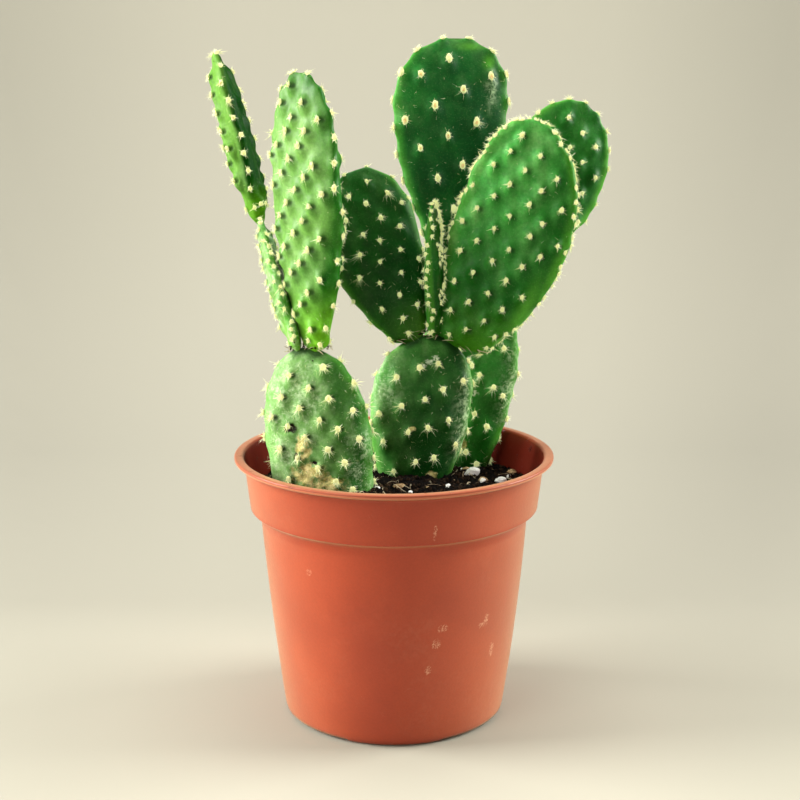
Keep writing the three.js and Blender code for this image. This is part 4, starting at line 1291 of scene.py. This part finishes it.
def make_grains(name, at, shapes, tints, material):
    """Loose grains at places, as icosahedra with flat faces and a tint for each."""
    points = within_box((at[:, None] + shapes).reshape(-1, 3))
    make_piece(name, points, repeated([ICOSAHEDRON_FACES], 12, len(at)), material, "potting_soil",
               flat=True, Tint=np.repeat(tints, 12))


def make_crumbs(pads, material, rng):
    """Crumbs on the soil: grains with uneven corners, stretched, turned at random and set a
    little into the soil. Most are small."""
    at = open_soil(CRUMBS, pads, rng, 0.3)
    count = len(at)
    size = (0.22 + 1.03 * rng.uniform(0, 1, count) ** 3.2)[:, None]
    shape = ICOSAHEDRON[None] * (1 + rng.normal(0, 0.16, (count, 12, 1)))
    shape = shape * (size * rng.uniform(0.4, 1, (count, 3)))[:, None]
    shape = np.einsum("nij,nkj->nki", turned_at_random(count, rng), shape)
    at = at + np.array([0, 0, 1]) * (0.25 * size)
    make_grains("crumbs", at, shape, rng.uniform(0, 1, count) ** 2.5, material)


def lump(at, half, turn, rng, rough, rings=22, sides=28):
    """One uneven stone: an ellipsoid whose radius is changed by waves of three sizes."""
    stone = ball(rings, sides)
    x, y, z = stone.T
    change = sum(share * wander(x + 2 * z, y - z, rng, wave)
                 for share, wave in ((0.1, 2.2), (0.06, 0.9), (0.035, 0.4)))
    stone = stone * (1 + rough * change)[:, None] * np.array(half)
    cos, sin = math.cos(math.radians(turn)), math.sin(math.radians(turn))
    stone = stone @ np.array([[cos, sin, 0], [-sin, cos, 0], [0, 0, 1]])
    return stone + np.array([*at, soil_height(*at) + 0.45 * half[2]]), tube_faces(rings, sides)


def make_lumps(name, table, extra, sizes, rough, pads, material, rng):
    """A set of uneven stones as one piece: those of a table and some at random places."""
    rows = list(table)
    for at in open_soil(STONE_PLACES, pads, rng, 2.5)[:extra]:
        size = rng.uniform(*sizes)
        half = (size, size * rng.uniform(0.55, 0.9), size * rng.uniform(0.4, 0.7))
        rows.append((at[:2], half, rng.uniform(0, 180)))
    points, faces = joined([lump(*row, rng, rough) for row in rows])
    make_piece(name, points, faces, material, "potting_soil")


def make_strands(name, paths, radius, tints, material, sides=4):
    """Thin round strands along paths as one piece: rings across the path, thinner at both ends."""
    count, steps, _ = paths.shape
    first, second = across_to(unit(np.gradient(paths, axis=1)), np.array([0.3, 0.2, 1.0]))
    taper = (0.35 + 0.65 * np.sin(np.pi * np.linspace(0.06, 0.94, steps)))[None, :, None]
    turn = full_turn(sides)
    rings = (paths[:, :, None] + (radius[:, None, None] * taper)[:, :, None] * (
        np.cos(turn)[:, None] * first[:, :, None] + np.sin(turn)[:, None] * second[:, :, None]))
    points = np.concatenate([paths[:, :1], rings.reshape(count, -1, 3), paths[:, -1:]], axis=1)
    each = points.shape[1]
    make_piece(name, within_box(points.reshape(-1, 3)), repeated(tube_faces(steps, sides), each, count),
               material, "potting_soil", Tint=np.repeat(tints, each))


def make_fibres(pads, material, rng):
    """Peat fibres and dry rootlets on the soil: each is an arc of random bend that starts at an
    open place, rises a little and comes down again."""
    at = open_soil(FIBRES, pads, rng, 1.5)
    count = len(at)
    t = np.linspace(0, 1, 9)[None, :]
    heading = rng.uniform(0, 2 * math.pi, (count, 1)) + rng.normal(0, 0.8, (count, 1)) * (t - 0.5)
    step = (1.5 + 8 * rng.uniform(0, 1, (count, 1)) ** 2) / 8
    x = at[:, :1] + np.cumsum(np.cos(heading) * step, 1)
    y = at[:, 1:2] + np.cumsum(np.sin(heading) * step, 1)
    room = soil_reach(SOIL.edge_height) - 0.6
    pull = np.minimum(1, room / np.maximum(np.hypot(x, y), 1e-6))
    x, y = x * pull, y * pull
    z = soil_height(x, y) + 0.35 + rng.uniform(0.1, 1.1, (count, 1)) * np.sin(np.pi * t)
    make_strands("fibres", np.stack([x, y, z], -1), rng.uniform(0.06, 0.16, count),
                 rng.uniform(0, 1, count) ** 2, material)


def neck_points(pads, count, reach, rng):
    """Random places round the foot of each pad, up to a reach above where it leaves the older
    one, with the directions out of the skin and up it."""
    found = []
    for pad in pads:
        along = (pad.sink + reach * rng.uniform(0, 1, count)) / pad.length
        angle = rng.uniform(-math.pi, math.pi, count)
        found.append((pad_point(pad, along, angle), *skin_frame(pad, along, angle)))
    return (np.concatenate(part) for part in zip(*found))


def make_joint_litter(pads, crumb, fibre, rng):
    """What has caught where a pad grows on a rooted one: dark crumbs of soil, one on top of every
    pad too, and dry brown fibres that lie round the joint and stand off a little."""
    rooted = [pad.name for pad in pads if not pad.on]
    grown = [pad for pad in pads if pad.on in rooted]
    at, out, _ = neck_points(grown, *JOINT_CRUMBS, rng)
    tops = []
    for pad in pads:
        along, angle = rng.uniform(0.93, 0.995, 1), rng.uniform(-math.pi, math.pi, 1)
        lift = (0.3 - pad.inset) * skin_frame(pad, along, angle)[0]
        tops.append(pad_point(pad, along, angle) + lift)
    at = np.concatenate([at + 0.2 * out, *tops])
    count = len(at)
    size = rng.uniform(0.2, 0.6, (count, 1, 1)) * rng.uniform(0.6, 1, (count, 1, 3))
    shape = ICOSAHEDRON[None] * (1 + rng.normal(0, 0.18, (count, 12, 1))) * size
    make_grains("joint_crumbs", at, shape, rng.uniform(0, 1, count) ** 3, crumb)
    at, out, up = neck_points(grown, *JOINT_FIBRES, rng)
    count = len(at)
    t = np.linspace(0, 1, 7)[None, :, None]
    side = np.cross(up, out) * rng.choice([-1, 1], (count, 1))
    length = rng.uniform(1.5, 4.2, (count, 1, 1))
    sag = rng.uniform(-0.8, 0.5, (count, 1, 1))
    paths = at[:, None] + length * t * (side + 0.35 * out)[:, None]
    paths = paths + sag * length * t * t * up[:, None]
    make_strands("joint_fibres", paths, rng.uniform(0.07, 0.16, count),
                 rng.uniform(0.3, 1, count), fibre)


# ------------------------------------------------------------------ studio

CAMERA_PLACE = (0, -0.55, 0.2434)   # metres
CAMERA_DOWN = 12.604                # degrees
CAMERA_RIGHT = 0.235
LENS = 67.67                        # millimetres, on a sensor of SENSOR_WIDTH
SENSOR_WIDTH = 36

FLOOR = Sizes(flat=450, reach=1300, rise=750, sides=128)     # millimetres
PAPER = colour(165, 162, 147)
# Painted light and shade on the paper: how light it is painted by its distance behind the pot's
# axis, and by its direction as seen from the camera, which counts for more the farther away it is.
PAPER_PAINTED_LIGHT_BY_DEPTH = ([-500, -150, -60, 0, 110, 250, 390, 1000, 1500],
                [0.8, 1.0, 1.0, 0.92, 0.69, 0.67, 0.67, 0.88, 1.1])
PAPER_PAINTED_LIGHT_BY_SIDE = ([-0.253, -0.186, -0.12, 0, 0.133, 0.2, 0.253],
               [0.93, 1.03, 1.13, 1.13, 1.09, 0.965, 0.88])

AIR_TINT = (1.0, 0.99, 0.96, 1)
AIR_LIGHT = 0.06
LIGHT_TINT = (1, 0.985, 0.955)
LIT_POINT = (0, 0, 0.13)            # the middle of the plant, which every light faces
# The lights in metres and watts: place, width and height, and power.
LIGHTS = {
    "key_left": ((-1.2, 0.04, 0.58), (0.7, 0.8), 39.0),
    "front_left": ((-0.95, -1.1, 0.85), (0.8, 0.8), 10.0),
    "side_right": ((1.2, 0.2, 0.62), (0.7, 0.9), 33.0),
    "top": ((0.0, 0.3, 1.7), (1.4, 1.0), 27.0),
}


def make_camera():
    """The camera: 55 cm in front of the pot's axis, a little above the plant's middle."""
    data = bpy.data.cameras.new("camera")
    data.lens = LENS
    data.sensor_width = SENSOR_WIDTH
    camera = bpy.data.objects.new("camera", data)
    camera.location = CAMERA_PLACE
    camera.rotation_euler = (math.radians(90 - CAMERA_DOWN), 0, math.radians(-CAMERA_RIGHT))
    bpy.context.scene.collection.objects.link(camera)
    bpy.context.scene.camera = camera


def make_floor():
    """A round paper floor that bends up into a low wall all round. Its section is level as far as
    FLOOR's flat radius and then a quarter of an ellipse. It is painted lighter and darker, as painted
    light and shade, by depth and by direction from the camera."""
    material, tree, shader, _ = new_material("studio_paper", Roughness=0.9, Specular_IOR_Level=0.15)
    # The paper's colour is dimmed by its painted light and shade.
    connect(shader, Base_Color=dimmed(PAPER, mark_of(tree, "Tone")))
    bend = np.linspace(0, np.pi / 2, 40)
    level = FLOOR.flat * np.linspace(0.05, 1, 20)[:-1]
    radius = np.concatenate([level, FLOOR.flat + FLOOR.reach * np.sin(bend)])
    height = np.concatenate([0 * level, FLOOR.rise * (1 - np.cos(bend))])
    points = turned(radius[:, None], height[:, None], FLOOR.sides, 0)
    quads, middle, _ = tube_faces(len(radius), FLOOR.sides)
    depth = points[:, 1]
    aside = points[:, 0] / np.maximum(depth + 550, 200)
    # Painted light and shade on the paper, by depth and by direction from the camera.
    tone = np.interp(depth, *PAPER_PAINTED_LIGHT_BY_DEPTH) * np.interp(aside, *PAPER_PAINTED_LIGHT_BY_SIDE) ** np.interp(
        depth, [0, 390], [0.2, 1])
    make_piece("studio_floor", points, [quads, middle], material, None, Tone=tone)


def make_light(name, place, size, power):
    """A soft rectangular light that faces the middle of the plant and isn't seen itself."""
    data = bpy.data.lights.new(name, "AREA")
    data.shape = "RECTANGLE"
    data.size, data.size_y = size
    data.energy = power
    data.color = LIGHT_TINT
    light = bpy.data.objects.new(name, data)
    light.location = place
    x, y, z = np.array(LIT_POINT) - np.array(place)
    light.rotation_euler = (math.atan2(math.hypot(x, y), -z), 0, math.atan2(y, x) - math.pi / 2)
    light.visible_camera = False
    bpy.context.scene.collection.objects.link(light)


def make_studio():
    """Floor, lights and air, with the plain view that shows colours as they are."""
    make_floor()
    for name, light in LIGHTS.items():
        make_light(name, *light)
    world = bpy.data.worlds.new("studio_air")
    world.use_nodes = True
    back = world.node_tree.nodes["Background"]
    back.inputs[0].default_value = AIR_TINT
    back.inputs[1].default_value = AIR_LIGHT
    bpy.context.scene.world = world
    bpy.context.scene.view_settings.view_transform = "Standard"


# ------------------------------------------------------------------ the whole object


def make_plant(pads, skins):
    """Every pad's skin, cushions and spines."""
    wool, straw = tuft_material(), spine_material()
    for order, pad in enumerate(pads):
        rng = np.random.default_rng(100 + order)
        spots = areole_spots(pad, pads, rng)
        make_skin(pad, pads, spots, skins[pad.skin], rng)
        spots = with_rope(pad, spots, rng)
        make_tufts(pad, spots, wool, rng)
        make_spines(pad, pads, spots, straw, rng)


def make_ground(pads):
    """The soil with everything that lies on it."""
    rng = np.random.default_rng(7)
    earth = plain_material("peat", (5, 3, 2), (20, 14, 10), 900, 0.95, 0.0008)
    crumb = plain_material("peat_crumbs", (2, 1, 1), (68, 50, 35), 900, 0.92, 0.0003, "Tint")
    white = plain_material("perlite", (232, 230, 220), (255, 255, 250), 900, 0.85, 0.0006)
    bark = plain_material("bark", (96, 66, 40), (206, 178, 132), 420, 0.85, 0.0005)
    fibre = plain_material("dry_fibre", (96, 66, 40), (246, 232, 196), 700, 0.7, 0.0001, "Tint")
    make_soil(earth, rng)
    make_crumbs(pads, crumb, rng)
    make_lumps("perlite", PERLITE, *MORE_PERLITE, pads, white, rng)
    make_lumps("bark_chips", BARK, *MORE_BARK, pads, bark, rng)
    make_fibres(pads, fibre, rng)
    make_joint_litter(pads, crumb, fibre, rng)


make_camera()
make_studio()
make_pot(pot_material())
pads = placed_pads()
make_plant(pads, skin_materials())
make_ground(pads)
